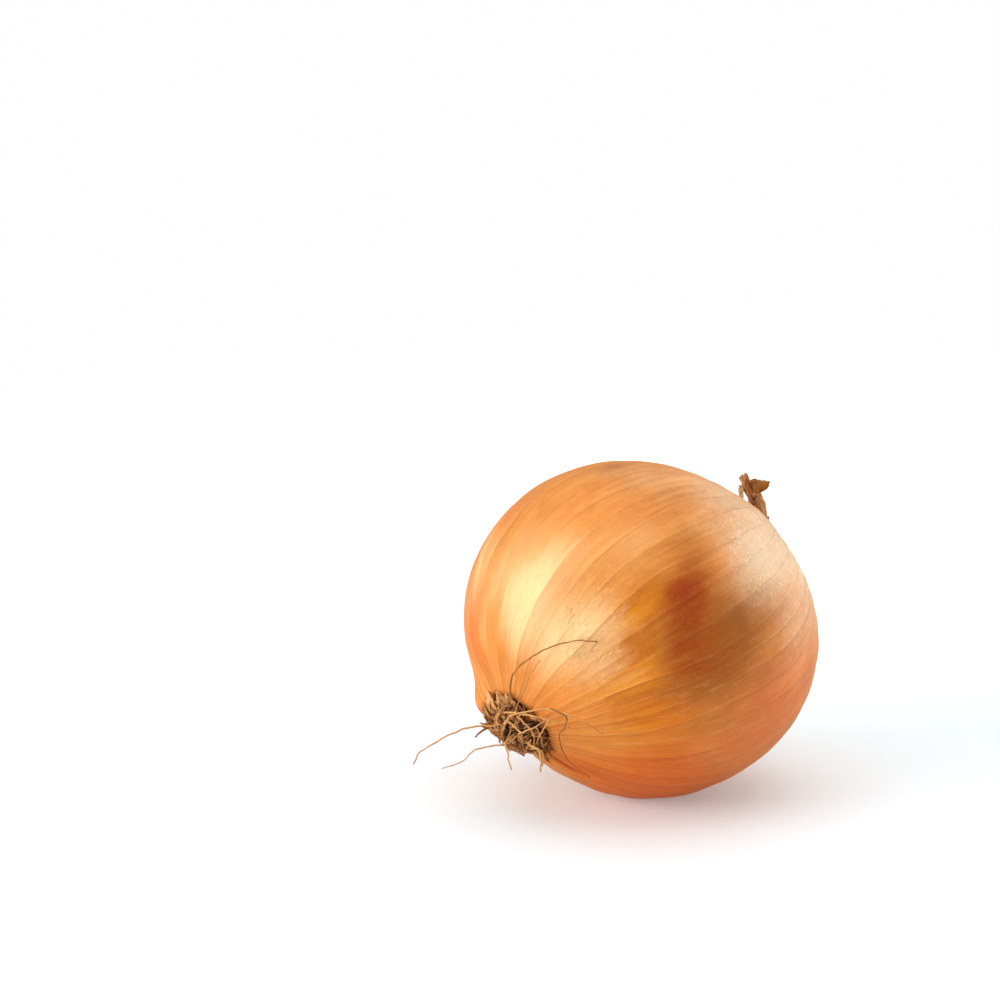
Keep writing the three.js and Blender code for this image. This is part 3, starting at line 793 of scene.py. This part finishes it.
# Short thick roots that stand at the edge of the plate towards the table, given the same way
edgeClumps = [
    ([(3.5, 10.3, -41.1), (3, 6.4, -42), (2.7, 3, -42.3), (2.9, 0.7, -41.9)], 0.5, 0.3, 0.7),
    ([(1.1, 8.3, -41.2), (1, 4.3, -42.1), (1.1, 1.3, -42.3), (2, -0.8, -41.7)], 0.6, 0.1, 0.5),
    ([(2.3, 10.3, -41), (1.7, 6.3, -42.1), (1.4, 3.3, -42.3), (1.5, 1, -42.1)], 0.55, 0.35, 0.6),
    ([(1.1, 5.8, -41.5), (1, 3.1, -42.3), (3.2, 3.1, -42.5)], 0.4, 0.5, 0.8),
    ([(1.5, 10.8, -39.8), (2.6, 10.3, -40.6), (8.1, 15.2, -38.5)], 0.5, 0.2, 0.55),
    ([(0.7, 8.3, -40.2), (1.5, 6.7, -41.3), (3.9, 7.3, -41.4)], 0.55, 0.3, 0.5),
    ([(0.3, 6.2, -40.3), (1.1, 4.5, -41.3), (4, 5.2, -41.7)], 0.5, 0.0, 0.45),
    ([(0.5, 4.8, -40.3), (1.2, 2.7, -41.4), (3.7, 3, -41.5)], 0.55, 0.1, 0.4),
    ([(0.1, 2.7, -40.4), (1.1, 1.1, -41.2), (3.6, 0.9, -41.3)], 0.5, 0.0, 0.4),
    ([(0.6, 1.8, -40.2), (1.3, -0.1, -40.9), (2.9, -0.7, -41.1)], 0.5, 0.3, 0.5),
    ([(0.4, 6.4, -41.3), (0.9, 5, -42.1), (2.9, 6.5, -42.3)], 0.34, 0.6, 0.8),
    ([(-0.2, 2.5, -41.4), (0, 0.4, -42.2), (2.5, 2.6, -42.3)], 0.34, 0.1, 0.6),
    ([(0.4, 11.2, -40.1), (2.5, 12.2, -40.4), (4.4, 12.6, -40.9)], 0.45, 0.4, 0.7),
    ([(0.6, -0.1, -41), (1.2, 0.8, -41.8), (1.9, 3.1, -42.1)], 0.34, 0.2, 0.6),
]


def makeRootTuft():
    # a domed plate, seeded short roots, hairs and scales over it, and the listed roots
    random = np.random.default_rng(21)
    r = rootEnd
    axis = ringCentre(np.array(-bulbShape["poleRadius"]))
    batches = []

    # the plate: a low dome with a lumpy top and a flat back in the bulb's hollow
    sides, shares = 60, np.array([1.0, 1.0, 0.97, 0.85, 0.7, 0.55, 0.4, 0.25, 0.12])
    angle = -fullTurn * np.arange(sides) / sides
    rimHeight = -bulbShape["poleRadius"] * np.cos(bulbShape["rootRim"])
    radius = r["plateRadius"] * shares[:, None] + 0 * angle
    lumps = 0.4 * latticeNoise(np.arange(sides) / 2 + 0 * radius, 9 * shares[:, None] + 0 * radius, 30, 31)
    height = rimHeight - r["plateDome"] * (1 - shares[:, None] ** 2) - lumps * (shares[:, None] < 0.9)
    height[0] = rimHeight + bulbShape["rootRecess"] - 0.4
    plate = np.stack([radius * np.cos(angle), radius * np.sin(angle), height], -1)
    plate = (plate + [axis[0], axis[1], 0]).reshape(-1, 3)
    back = [axis[0], axis[1], height[0, 0]]
    top = [axis[0], axis[1], rimHeight - r["plateDome"]]
    plate = np.concatenate([[back], plate, [top]])
    quads, tris = ringFaces(len(shares), sides)
    # the plate is given little light: painted shade under the roots
    tint = np.broadcast_to([0.12, 0.1, 0.0], (len(plate), 3))
    batches.append((plate, quads, tris, tint))

    def matPaths(count, steps, reach, bend, lift, seed):
        # starts on a spiral over the plate; each goes off on its own heading and bends as it
        # goes, rising out of the plate and coming down again over its neighbours
        random = np.random.default_rng(seed)
        start = np.arange(count)
        startRadius = 0.84 * r["plateRadius"] * np.sqrt((start + 0.5) / count)
        startBearing = start * np.pi * (3 - np.sqrt(5))
        length = random.uniform(*reach, count)
        turned = random.uniform(-bend, bend, count)
        heading = startBearing + random.normal(0, 0.95, count)
        share = np.linspace(0, 1, steps)
        heading = heading[:, None] + turned[:, None] * share
        heading = heading + 0.35 * np.cumsum(random.normal(0, 1, (count, steps)), axis=1) / np.sqrt(steps)
        step = length[:, None] / steps
        x = (startRadius * np.cos(startBearing))[:, None] + np.cumsum(np.cos(heading), 1) * step
        y = (startRadius * np.sin(startBearing))[:, None] + np.cumsum(np.sin(heading), 1) * step
        peak = random.uniform(*lift, count)[:, None]
        endLift = peak * random.uniform(0.15, 1.05, count)[:, None]
        rise = ease(share, 0.0, 0.35) * (peak - (peak - endLift) * ease(share, 0.35, 1.0))
        wave = 0.25 * np.sin(fullTurn * (share * random.uniform(0.7, 1.6, count)[:, None]))
        height = 0.45 * (1 - share) ** 6 * -2.0 + rise + wave * share
        x, y = keepIn(x, y)
        return overRootEnd(x, y, np.maximum(height, np.where(share > 0.2, 0.3, -0.8))), height, share

    def addTubes(paths, radii, sides, straw, light, share, *form):
        # many tubes as one batch: how straw-pale, how lit (low is painted shade), how far along each point is
        points, quads, tris = makeTubes(paths, radii, sides, *form)
        tint = np.stack(np.broadcast_arrays(straw, light, share + 0 * radii), -1)
        batches.append((points, quads, tris, perPoint(tint, sides)))

    # short dry roots
    paths, height, share = matPaths(r["matRoots"], r["matSteps"], (2.4, 5.4), 1.6, (0.2, 1.5), 22)
    thick = random.uniform(0.22, 0.44, len(paths))[:, None]
    radii = thick * (1 - 0.6 * share ** 3) * (1 + 0.15 * random.normal(0, 1, height.shape))
    straw = np.clip(random.uniform(-0.1, 1.0, len(paths))[:, None], 0, 1)
    # painted shade: the lower a root lies in the mat, the darker
    addTubes(paths, np.maximum(radii, 0.1), 5, straw, ease(height, 0.2, 1.9), share)

    # a thicker ragged edge of roots on the side towards the table
    count, share = r["edgeRoots"], np.linspace(0, 1, r["matSteps"])
    bearing = np.radians(random.normal(70, 13, count))[:, None]
    bearing = bearing + random.uniform(-0.35, 0.35, count)[:, None] * share
    distance = random.uniform(4.5, 7.2, count)[:, None] + random.uniform(1.6, 4.2, count)[:, None] * share
    rise = random.uniform(1.0, 3.2, count)[:, None] * ease(share, 0, 0.6) + 0.2
    paths = overRootEnd(distance * np.cos(bearing), distance * np.sin(bearing), rise)
    radii = random.uniform(0.3, 0.5, count)[:, None] * (1 - 0.6 * share ** 2)
    straw = np.clip(random.uniform(-0.2, 0.5, count)[:, None], 0, 1)
    addTubes(paths, radii, 5, straw, ease(rise, 0.3, 3.4), share)

    # finer hairs that stray further
    paths, height, share = matPaths(r["hairRoots"], 11, (3.0, 6.5), 3.0, (0.5, 2.4), 23)
    radii = random.uniform(0.1, 0.18, len(paths))[:, None] * (1 - 0.5 * share ** 2)
    straw = random.uniform(0.3, 1.0, len(paths))[:, None]
    addTubes(paths, radii, 4, straw, ease(height, 0.2, 2.2), share)

    # flat torn scales round the edge of the plate, most of them on the side away from the table
    count, share = r["scales"], np.linspace(0, 1, 7)
    bearing = np.radians(np.concatenate([
        random.normal(150, 32, count // 2), random.uniform(0, 360, count - count // 2)]))
    start = random.uniform(5.4, 7.6, count)[:, None]
    distance = start + random.uniform(1.6, 3.6, count)[:, None] * share
    swerve = bearing[:, None] + random.uniform(-0.35, 0.35, count)[:, None] * share
    curl = random.uniform(0.1, 0.6, count)[:, None]
    lift = 0.1 + 0.3 * ease(share, 0, 0.3) + curl * share ** 2
    paths = overRootEnd(*keepIn(distance * np.cos(swerve), distance * np.sin(swerve)), lift)
    width = random.uniform(0.35, 0.95, count)[:, None] * (1 - 0.75 * share ** 2)
    width = width * (1 + 0.2 * random.normal(0, 1, width.shape))
    facing = unit(paths - [axis[0], axis[1], 0])
    pale = 1.5 * bell(bearingGap(bearing, np.radians(165)), 0.5) + random.normal(0, 0.25, count)
    straw = np.clip(pale, 0.0, 1.4)[:, None]
    addTubes(paths, np.maximum(width, 0.12), 6, straw, 0.75, share, 0.22, facing)

    share = np.linspace(0, 1, 9)
    for route, half, straw, light in flakes:
        path = liftClear(smoothRoute(route, 9), 0.35)
        width = half * (0.75 + 0.35 * np.sin(np.pi * share)) * (1 - 0.5 * share ** 6)
        width = width * (1 + 0.12 * random.normal(0, 1, 9))
        facing = unit(path - ringCentre(path[:, 2]))
        addTubes(path[None], width[None], 10, straw, light, 0.7 * share, 0.16, facing)

    for route, half, straw, light in edgeClumps:
        path = smoothRoute(route, 9)
        kinks = latticeNoise(4 * share[:, None] + 10 * half, np.arange(3) * 5.0 + 0 * path, 40, 33)
        width = half * (1 - 0.55 * share ** 3) * (1 + 0.1 * random.normal(0, 1, 9))
        # painted shade, darker towards each clump's base
        light = light * (0.5 + 0.5 * share)
        addTubes((path + 0.3 * kinks)[None], width[None], 7, straw, light, 0.9 * share, 0.75)

    # the long roots, with small kinks
    for i, (route, radius, straw, kinked) in enumerate(longRoots):
        path = smoothRoute(route, 7 * len(route), kinked)
        step = np.arange(len(path))
        share = np.linspace(0, 1, len(path))
        kinks = latticeNoise(step[:, None] * 0.45 + 0 * path, np.arange(3) * 7.0 + 0 * path, 40, 40 + i)
        path = path + r["kink"] * kinks * ease(share, 0.05, 0.3)[:, None]
        path = np.where(share[:, None] > 0.12, liftClear(path, 0.3 + radius), path)
        knots = latticeNoise(step * 0.5, 0.0 * share, 40, 60 + i)
        radii = r["longRootShare"] * radius * (1 - 0.45 * share ** 2) * (1 + 0.12 * knots)
        addTubes(path[None], radii[None], 7, straw, 1.0, share)

    points, quads, tris, tint = joinPieces(batches)
    return makePiece("root_mat", points, quads, tris, {"tint": tint})


rootFinish = {
    # painted shade deep in the mat
    "darkShade": (62, 31, 9),
    "brown": (146, 82, 30),
    "straw": (222, 168, 106),
    "tip": (136, 76, 34),
    "roughness": 0.62,
}


def makeRootMaterial():
    material, tree, shader = startMaterial("dry_roots")
    c = paints(rootFinish)
    straw, light, along = parts(tree, attribute(tree, "tint"))
    place = placeOf(tree)
    patches = noise(tree, scaled(tree, place, 0.7), 3.0, 0.6)
    grain = noise(tree, scaled(tree, place, 5.0), 3.0, 0.6)
    share = plus(tree, straw, swing(tree, patches, 0.9))
    colour = blend(tree, remap(tree, share, 0.0, 0.95), c["brown"], c["straw"])
    # painted shade: dark brown where a root lies deep in the mat or low on the plate
    colour = blend(tree, remap(tree, light, 0.0, 0.85, 0.95, 0.0), colour, c["darkShade"])
    tipShare = times(tree, remap(tree, along, 0.75, 1.0), 0.45)
    colour = blend(tree, tipShare, colour, c["tip"])
    colour = shaded(tree, colour, remap(tree, grain, 0.25, 0.75, 0.72, 1.15))
    tree.links.new(colour, shader.inputs["Base Color"])
    addRelief(tree, shader, times(tree, grain, 0.08))
    gloss = remap(tree, patches, 0.3, 0.7, rootFinish["roughness"] - 0.08, rootFinish["roughness"] + 0.15)
    tree.links.new(gloss, shader.inputs["Roughness"])
    shader.inputs["Specular IOR Level"].default_value = 0.25
    return material


roots = makeRootTuft()
roots.data.materials.append(makeRootMaterial())
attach(roots, "root")
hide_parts("root_tuft")
print("roots done")


# Strips of dry neck skin: the line down the middle, widths in millimetres from base to tip, how
# much it cups, how ragged its tip is, its colour from orange-brown (0) to olive (1), whether its
# flat side is turned away from the bulb (1), and how much paler than the others it is
neckStrips = [
    {"route": [(1.2, -0.6, 42.8), (0, 0.8, 45), (-1.6, 1.5, 46.3), (-3, 1.6, 46.4), (-4.9, 2.1, 46.6),
               (-6.8, 2.7, 46.9), (-8.6, 3.8, 47.5)],
     "widths": (3.2, 3.0, 2.7, 2.5, 2.5, 1.9, 1.3), "cup": 0.5, "ragged": 0.5, "olive": 0.1, "turned": 1},
    {"route": [(-1.6, 0.8, 45.8), (-3.2, 1, 46.3), (-4.7, 1.4, 46.4), (-6.7, 1.4, 46.6), (-8.5, 1.2, 46.9),
               (-10, 1.4, 47.4)],
     "widths": (1.8, 1.8, 1.7, 1.4, 1.1, 0.8), "cup": 0.4, "ragged": 0.3, "olive": 0.3, "turned": 1},
    {"route": [(-4.6, 2, 46.4), (-6.2, 1.2, 47.2), (-6.2, -0.2, 47.7), (-6, -1.6, 48.4), (-6.5, -3.2, 49.2)],
     "widths": (2.2, 2.6, 3.7, 3.0, 1.7), "cup": 0.15, "ragged": 0.8, "olive": 1.0, "turned": 1},
    {"route": [(-1, 0.2, 45.6), (-2.8, 0.4, 46.8), (-4.1, -0.2, 46.8), (-3.9, -1.4, 46.2), (-3.4, -3, 45.1),
               (-2.8, -4.6, 43.6), (-2.1, -5.9, 42.3)],
     "widths": (1.6, 1.7, 1.8, 2.0, 1.9, 1.6, 1.0), "cup": 0.5, "ragged": 0.3, "olive": 0.15, "turned": 1},
    {"route": [(-0.4, 0, 45.4), (-2, 0, 46.2), (-2.2, -1.2, 45.4), (-1.9, -2.8, 44.2), (-1.3, -4.2, 43),
               (-0.6, -4.8, 41.8)],
     "widths": (2.0, 2.3, 2.4, 2.3, 2.0, 1.6), "cup": 0.3, "ragged": 0.3, "olive": 0.4, "turned": 1},
    {"route": [(0.8, -4, 41.6), (-0.3, -4.9, 42), (-1, -6, 42.3), (-1.9, -6.9, 42.6)],
     "widths": (1.6, 1.4, 1.1, 0.6), "cup": 0.3, "ragged": 0.3, "olive": 0.0, "turned": 0},
    {"route": [(-1.5, 4.9, 41.4), (-4, 3.4, 42.2), (-5.2, 1.1, 42.4), (-5, -1.3, 42.1), (-3.9, -3.4, 41.4)],
     "widths": (1.4, 2.6, 2.8, 2.6, 1.4), "cup": 0.2, "ragged": 0.6, "olive": 0.0, "turned": 0, "pale": 0.3},
    {"route": [(-2.6, 3.4, 43.2), (-4.6, 3.2, 44.6), (-5.9, 3.2, 45.2), (-7.2, 3.1, 45.7)],
     "widths": (1.5, 1.6, 1.3, 0.7), "cup": 0.4, "ragged": 0.6, "olive": 0.0, "turned": 1, "pale": 0.7},
]
neckShape = {
    "stubTop": 2.8,
    "stubHeight": 2.6,
    "thickness": 0.26,
    "crinkle": 0.22,
    "hiddenStrips": [
        (276, 2.6, 1.2, 10, 25), (295, 2.2, 2.0, 10, 25), (312, 3.4, 3.4, 10, 30), (333, 2.4, 4.0, 20, 40),
        (351, 3.0, 6.0, 40, 70), (12, 2.2, 4.5, 20, 45), (32, 3.4, 7.0, 28, 58), (52, 2.4, 5.0, 45, 70),
        (72, 2.8, 5.5, 40, 72), (92, 2.2, 4.5, 25, 50), (112, 3.6, 8.0, 24, 50), (132, 2.4, 5.0, 45, 65),
        (200, 2.6, 3.6, 12, 25), (250, 2.4, 1.6, 5, 15), (340, 2.4, 4.0, 5, 20), (80, 2.6, 4.0, 5, 25),
    ],                        # bearing, width, length, lean at the base and at the tip in degrees
}


def makeStrip(route, widths, cup, ragged, turned, seed):
    # a two-sided sheet along a smooth line: it cups across its width, crinkles both ways and
    # ends in a ragged tip
    steps, across = 22, 9
    path = smoothRoute(route, steps)
    share = np.linspace(0, 1, steps)
    width = np.interp(share, np.linspace(0, 1, len(widths)), widths)
    heading = unit(np.gradient(path, axis=0))
    outward = unit(path - ringCentre(path[:, 2]) - [0, 0, 30])
    outward = outward * (1 - turned) + np.array([-0.56, -0.71, -0.42]) * turned
    face = unit(outward - (outward * heading).sum(-1, keepdims=True) * heading)
    sideways = np.cross(heading, face)
    place = np.linspace(-1, 1, across)
    edge = 1 + 0.22 * latticeNoise(share * 9, 0 * share, 40, seed)
    v = np.concatenate([place, place[::-1]])
    skin = np.repeat([0.5, -0.5], across) * neckShape["thickness"] * np.sqrt(1.02 - v ** 2)
    wrinkle = latticeNoise(v * 2.2 + 9 + 0 * share[:, None], share[:, None] * 7, 40, seed + 1)
    bow = -cup * width[:, None] * 0.5 * v ** 2 + neckShape["crinkle"] * wrinkle
    tip = ragged * latticeNoise(v * 2.6 + 20, 0 * v, 40, seed + 2) * share[:, None] ** 4
    rings = (
        path[:, None]
        + sideways[:, None] * (v * (0.5 * width * edge)[:, None])[..., None]
        + face[:, None] * (bow + skin)[..., None]
        + heading[:, None] * tip[..., None]
    )
    points = np.concatenate([path[:1], rings.reshape(-1, 3), rings[-1].mean(0)[None]])
    quads, tris = ringFaces(steps, 2 * across)
    length = np.linalg.norm(np.diff(path, axis=0), axis=1).sum()
    return points[None], quads, tris, share[:, None] + 0 * v, v + 0 * share[:, None], length


def makeNeck():
    # a fluted stub in the bulb's hollow, with the strips that show and the guessed ones round it
    s = neckShape
    batches = []
    neckHeight = skinRadius(bulbShape["neckRim"], 0.0) * np.cos(bulbShape["neckRim"])
    base = neckHeight - bulbShape["neckRecess"] + 0.4

    # the stub: fluted rings that narrow from the hollow's floor to a sunken top
    sides = 80
    angle = fullTurn * np.arange(sides) / sides
    profile = np.array([
        (0.8, 1.2), (1.6, 1.55), (2.6, 1.05), (3.2, 1.0), (3.6, 0.82), (4.2, 0.55), (4.7, 0.35), (5.1, 0.2),
        (5.3, 0.08), (5.3, 0.0)])
    radius = profile[:, :1] + 0 * angle
    height = base + profile[:, 1:] * s["stubHeight"] + 0 * angle
    flutes = latticeNoise(angle / fullTurn * 24 + 0 * radius, radius * 0.8, 24, 70, True)
    radius = radius * (1 + 0.13 * flutes * (1 - ease(radius, 4.6, 5.2)))
    height = height + 0.35 * latticeNoise(angle / fullTurn * 20 + 0 * radius, radius, 20, 71) * (radius < 3.5)
    stub = np.stack([radius * np.cos(angle), radius * np.sin(angle), height], -1)
    stub = stub + ringCentre(height)
    middle = ringCentre(np.array(base))
    top = middle + [0, 0, base + s["stubHeight"]]
    points = np.concatenate([[top], stub.reshape(-1, 3), [middle + [0, 0, base]]])
    quads, tris = ringFaces(len(profile), sides)
    # the stub is given little light: painted shade in the neck's hollow
    tint = np.broadcast_to([0.3, 0.35, 0.3], (len(points), 3))
    sheet = np.stack([1.6 * np.cos(9 * points[:, 0]), points[:, 2], 0 * points[:, 0]], -1)
    batches.append((points, quads, tris, np.concatenate([tint, sheet], -1)))

    strips = [dict(strip) for strip in neckStrips]
    random = np.random.default_rng(5)
    for bearing, width, length, baseLean, tipLean in s["hiddenStrips"]:
        # a line that leans further out from the stub along its length
        share = np.linspace(0, 1, 6)
        lean = np.radians(baseLean + (tipLean - baseLean) * share)
        outward = directionOf(np.pi / 2, np.radians(bearing + random.uniform(-10, 10)))
        step = outward * np.sin(lean)[:, None] + np.array([0, 0, 1]) * np.cos(lean)[:, None]
        start = ringCentre(np.array(neckHeight)) + [0, 0, neckHeight - 0.6] + outward * (s["stubTop"] - 0.7)
        route = start + np.cumsum(step, axis=0) * length / 5
        widths = width * np.array([1.0, 1.1, 1.0, 0.85, 0.7, 0.35]) * random.uniform(0.85, 1.15, 6)
        strips.append({"route": route, "widths": widths, "cup": random.uniform(0.2, 0.7),
                       "ragged": random.uniform(0.3, 0.9), "olive": random.uniform(0, 0.7), "turned": 0})
    for i, strip in enumerate(strips):
        points, quads, tris, share, v, length = makeStrip(
            strip["route"], strip["widths"], strip["cup"], strip["ragged"], strip["turned"], 80 + 3 * i)
        # lit less towards each strip's base: painted shade near the stub
        light = 0.5 + 0.5 * ease(share, 0, 0.4) + strip.get("pale", 0)
        values = np.stack([strip["olive"] + 0 * share, light, share, v, share * length, 0 * v + 9 * i], -1)
        values = values.reshape(-1, 6)
        batches.append((points, quads, tris, np.concatenate([values[:1], values, values[-1:]])))
    points, quads, tris, values = joinPieces(batches)
    return makePiece("neck_wisps", points, quads, tris, {"tint": values[:, :3], "sheet": values[:, 3:]})


neckFinish = {
    "orangeBrown": (212, 154, 96),
    "olive": (156, 106, 24),
    # dark brown for random darker patches and for painted shade
    "darkShade": (106, 62, 22),
    "edge": (240, 214, 180),
    "streak": (150, 96, 48),
    "roughness": 0.52,
}


def makeNeckMaterial():
    material, tree, shader = startMaterial("dry_neck")
    c = paints(neckFinish)
    olive, light = parts(tree, attribute(tree, "tint"))[:2]
    sheet = attribute(tree, "sheet")
    place = placeOf(tree)
    patches = noise(tree, scaled(tree, place, 0.5), 3.0, 0.6)
    grain = noise(tree, scaled(tree, place, 2.6), 4.0, 0.65, 0.5)
    streaks = noise(tree, scaled(tree, sheet, 2.4, 0.22, 1.0), 3.0, 0.6)
    rim = remap(tree, calc(tree, "ABSOLUTE", parts(tree, sheet)[0]), 0.72, 1.0)
    colour = blend(tree, olive, c["orangeBrown"], c["olive"])
    colour = blend(tree, remap(tree, streaks, 0.56, 0.44, 0.0, 0.7), colour, c["streak"])
    shade = remap(tree, plus(tree, patches, times(tree, light, 0.3)), 0.42, 0.85, 0.85, 0.0)
    colour = blend(tree, shade, colour, c["darkShade"])
    paleShare = times(tree, remap(tree, streaks, 0.52, 0.68), calc(tree, "SUBTRACT", 0.75, olive))
    colour = blend(tree, calc(tree, "MAXIMUM", paleShare, 0.0), colour, c["edge"])
    colour = blend(tree, remap(tree, light, 1.1, 1.9), colour, c["edge"])
    rimShare = times(tree, times(tree, rim, remap(tree, patches, 0.4, 0.6)), 0.5)
    colour = blend(tree, rimShare, colour, c["edge"])
    tree.links.new(colour, shader.inputs["Base Color"])
    addRelief(tree, shader, plus(tree, times(tree, grain, 0.1), times(tree, streaks, 0.35)))
    gloss = remap(tree, patches, 0.3, 0.7, neckFinish["roughness"] - 0.1, neckFinish["roughness"] + 0.12)
    tree.links.new(gloss, shader.inputs["Roughness"])
    shader.inputs["Specular IOR Level"].default_value = 0.25
    return material


neck = makeNeck()
neck.data.materials.append(makeNeckMaterial())
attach(neck, "root")
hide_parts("neck")
print("neck done")


view = {
    "azimuth": 42.26,         # degrees from -Y towards -X
    "elevation": 15.0,
    "distance": 0.7,
    "aimAcross": -0.03395,    # the bulb stands right of the frame's middle and below it
    "aimUp": 0.03054,
    "lens": 105.3,
}
lights = {
    "worldFront": 0.53,       # what the side behind the camera gives, and what the far side gives
    "worldBack": 0.4,
    "worldLeft": 0.72,        # share of it that is left on the left
    "keyEnergy": 10.0,
    "keySize": 0.8,
    "keyDirection": (-0.86, 0.05, 0.51),     # right, up and towards the camera
    "rimEnergy": 5.0,
    "rimSize": 0.6,
    "rimDirection": (0.83, 0.457, -0.315),
    "topEnergy": 9.2,
    "topSize": 1.6,
    "topDirection": (0.0, 0.98, 0.2),
    "topHeight": 1.3,
    "reach": 0.9,
}
floorFinish = {
    "colour": (235, 243, 246),
    "second": (239, 246, 249),
    "bounce": (212, 200, 188),
    "glow": 0.035,            # its own light near the bulb and far from it, with where it grows
    "farGlow": 0.5,
    "glowStart": 0.13,
    "glowFull": 0.34,
    "size": 1.1,
    "roughness": 0.7,
    "specular": 0.2,
}

middle = Vector((0, 0, bulbShape["tableDrop"] * mm))
azimuth, elevation = np.radians(view["azimuth"]), np.radians(view["elevation"])
toCamera = Vector((
    -np.sin(azimuth) * np.cos(elevation), -np.cos(azimuth) * np.cos(elevation), np.sin(elevation)))
rightward = Vector((np.cos(azimuth), -np.sin(azimuth), 0))
upward = toCamera.cross(rightward)
cameraData = bpy.data.cameras.new("studio_camera")
cameraData.lens = view["lens"]
cameraData.sensor_width = 36
cameraData.clip_start = 0.01
camera = bpy.data.objects.new("studio_camera", cameraData)
bpy.context.scene.collection.objects.link(camera)
camera.location = middle + toCamera * view["distance"]
aim = middle + rightward * view["aimAcross"] + upward * view["aimUp"]
camera.rotation_euler = (aim - camera.location).to_track_quat("-Z", "Y").to_euler()
bpy.context.scene.camera = camera


def addLight(name, direction, energy, size, reach):
    # a square soft box that faces the bulb from a direction given as right, up and towards the camera
    data = bpy.data.lights.new(name, "AREA")
    data.energy = energy
    data.size = size
    lamp = bpy.data.objects.new(name, data)
    bpy.context.scene.collection.objects.link(lamp)
    away = (rightward * direction[0] + upward * direction[1] + toCamera * direction[2]).normalized()
    lamp.location = middle + away * reach
    lamp.rotation_euler = (-away).to_track_quat("-Z", "Y").to_euler()
    return lamp


addLight("key_box", lights["keyDirection"], lights["keyEnergy"], lights["keySize"], lights["reach"])
rim = addLight("rim_box", lights["rimDirection"], lights["rimEnergy"], lights["rimSize"], lights["reach"])
rim.data.use_shadow = False
addLight("top_box", lights["topDirection"], lights["topEnergy"], lights["topSize"], lights["topHeight"])

# white all round for the camera; for the light, dim behind the camera and bright beyond the bulb
world = bpy.data.worlds.new("studio")
bpy.context.scene.world = world
world.use_nodes = True
sky = world.node_tree
background = sky.nodes["Background"]
skyward = addNode(sky, "ShaderNodeTexCoord", {}).outputs["Generated"]


def skyAlong(direction):
    # how far a ray of the sky points along a direction, -1 to 1
    inputs = {0: skyward, 1: tuple(direction)}
    return addNode(sky, "ShaderNodeVectorMath", inputs, operation="DOT_PRODUCT").outputs["Value"]


glow = remap(sky, skyAlong(toCamera), -0.9, 0.9, lights["worldBack"], lights["worldFront"])
glow = times(sky, glow, remap(sky, skyAlong(rightward), -0.9, 0.3, lights["worldLeft"], 1.0))
seen = addNode(sky, "ShaderNodeLightPath", {}).outputs["Is Camera Ray"]
glow = calc(sky, "MAXIMUM", glow, seen)
sky.links.new(glow, background.inputs["Strength"])
background.inputs["Color"].default_value = (1.0, 0.997, 0.995, 1.0)
bpy.context.scene.view_settings.view_transform = "Standard"

half = floorFinish["size"] / 2
floorMesh = bpy.data.meshes.new("table")
floorCorners = [(-half, -half, 0), (half, -half, 0), (half, half, 0), (-half, half, 0)]
floorMesh.from_pydata(floorCorners, [], [(0, 1, 2, 3)])
floor = bpy.data.objects.new("table", floorMesh)
bpy.context.scene.collection.objects.link(floor)
floorMaterial, floorTree, floorShader = startMaterial("pale_table")
floorPosition = addNode(floorTree, "ShaderNodeTexCoord", {}).outputs["Object"]
floorPaint = paints(floorFinish)
floorNoise = noise(floorTree, scaled(floorTree, floorPosition, 3), 2.0)
floorTone = blend(floorTree, floorNoise, floorPaint["colour"], floorPaint["second"])
# pale to the camera, and greyer to the light that it throws back up under the bulb
direct = addNode(floorTree, "ShaderNodeLightPath", {}).outputs["Is Camera Ray"]
floorTone = blend(floorTree, direct, floorPaint["bounce"], floorTone)
floorTree.links.new(floorTone, floorShader.inputs["Base Color"])
fromMiddle = addNode(floorTree, "ShaderNodeVectorMath", {0: floorPosition}, operation="LENGTH")
floorGlow = remap(floorTree, fromMiddle.outputs["Value"], floorFinish["glowStart"], floorFinish["glowFull"],
                  floorFinish["glow"], floorFinish["farGlow"])
floorTree.links.new(times(floorTree, direct, floorGlow), floorShader.inputs["Emission Strength"])
floorShader.inputs["Emission Color"].default_value = (1.0, 1.0, 1.0, 1.0)
floorShader.inputs["Roughness"].default_value = floorFinish["roughness"]
floorShader.inputs["Specular IOR Level"].default_value = floorFinish["specular"]
floorMesh.materials.append(floorMaterial)
print("studio done")
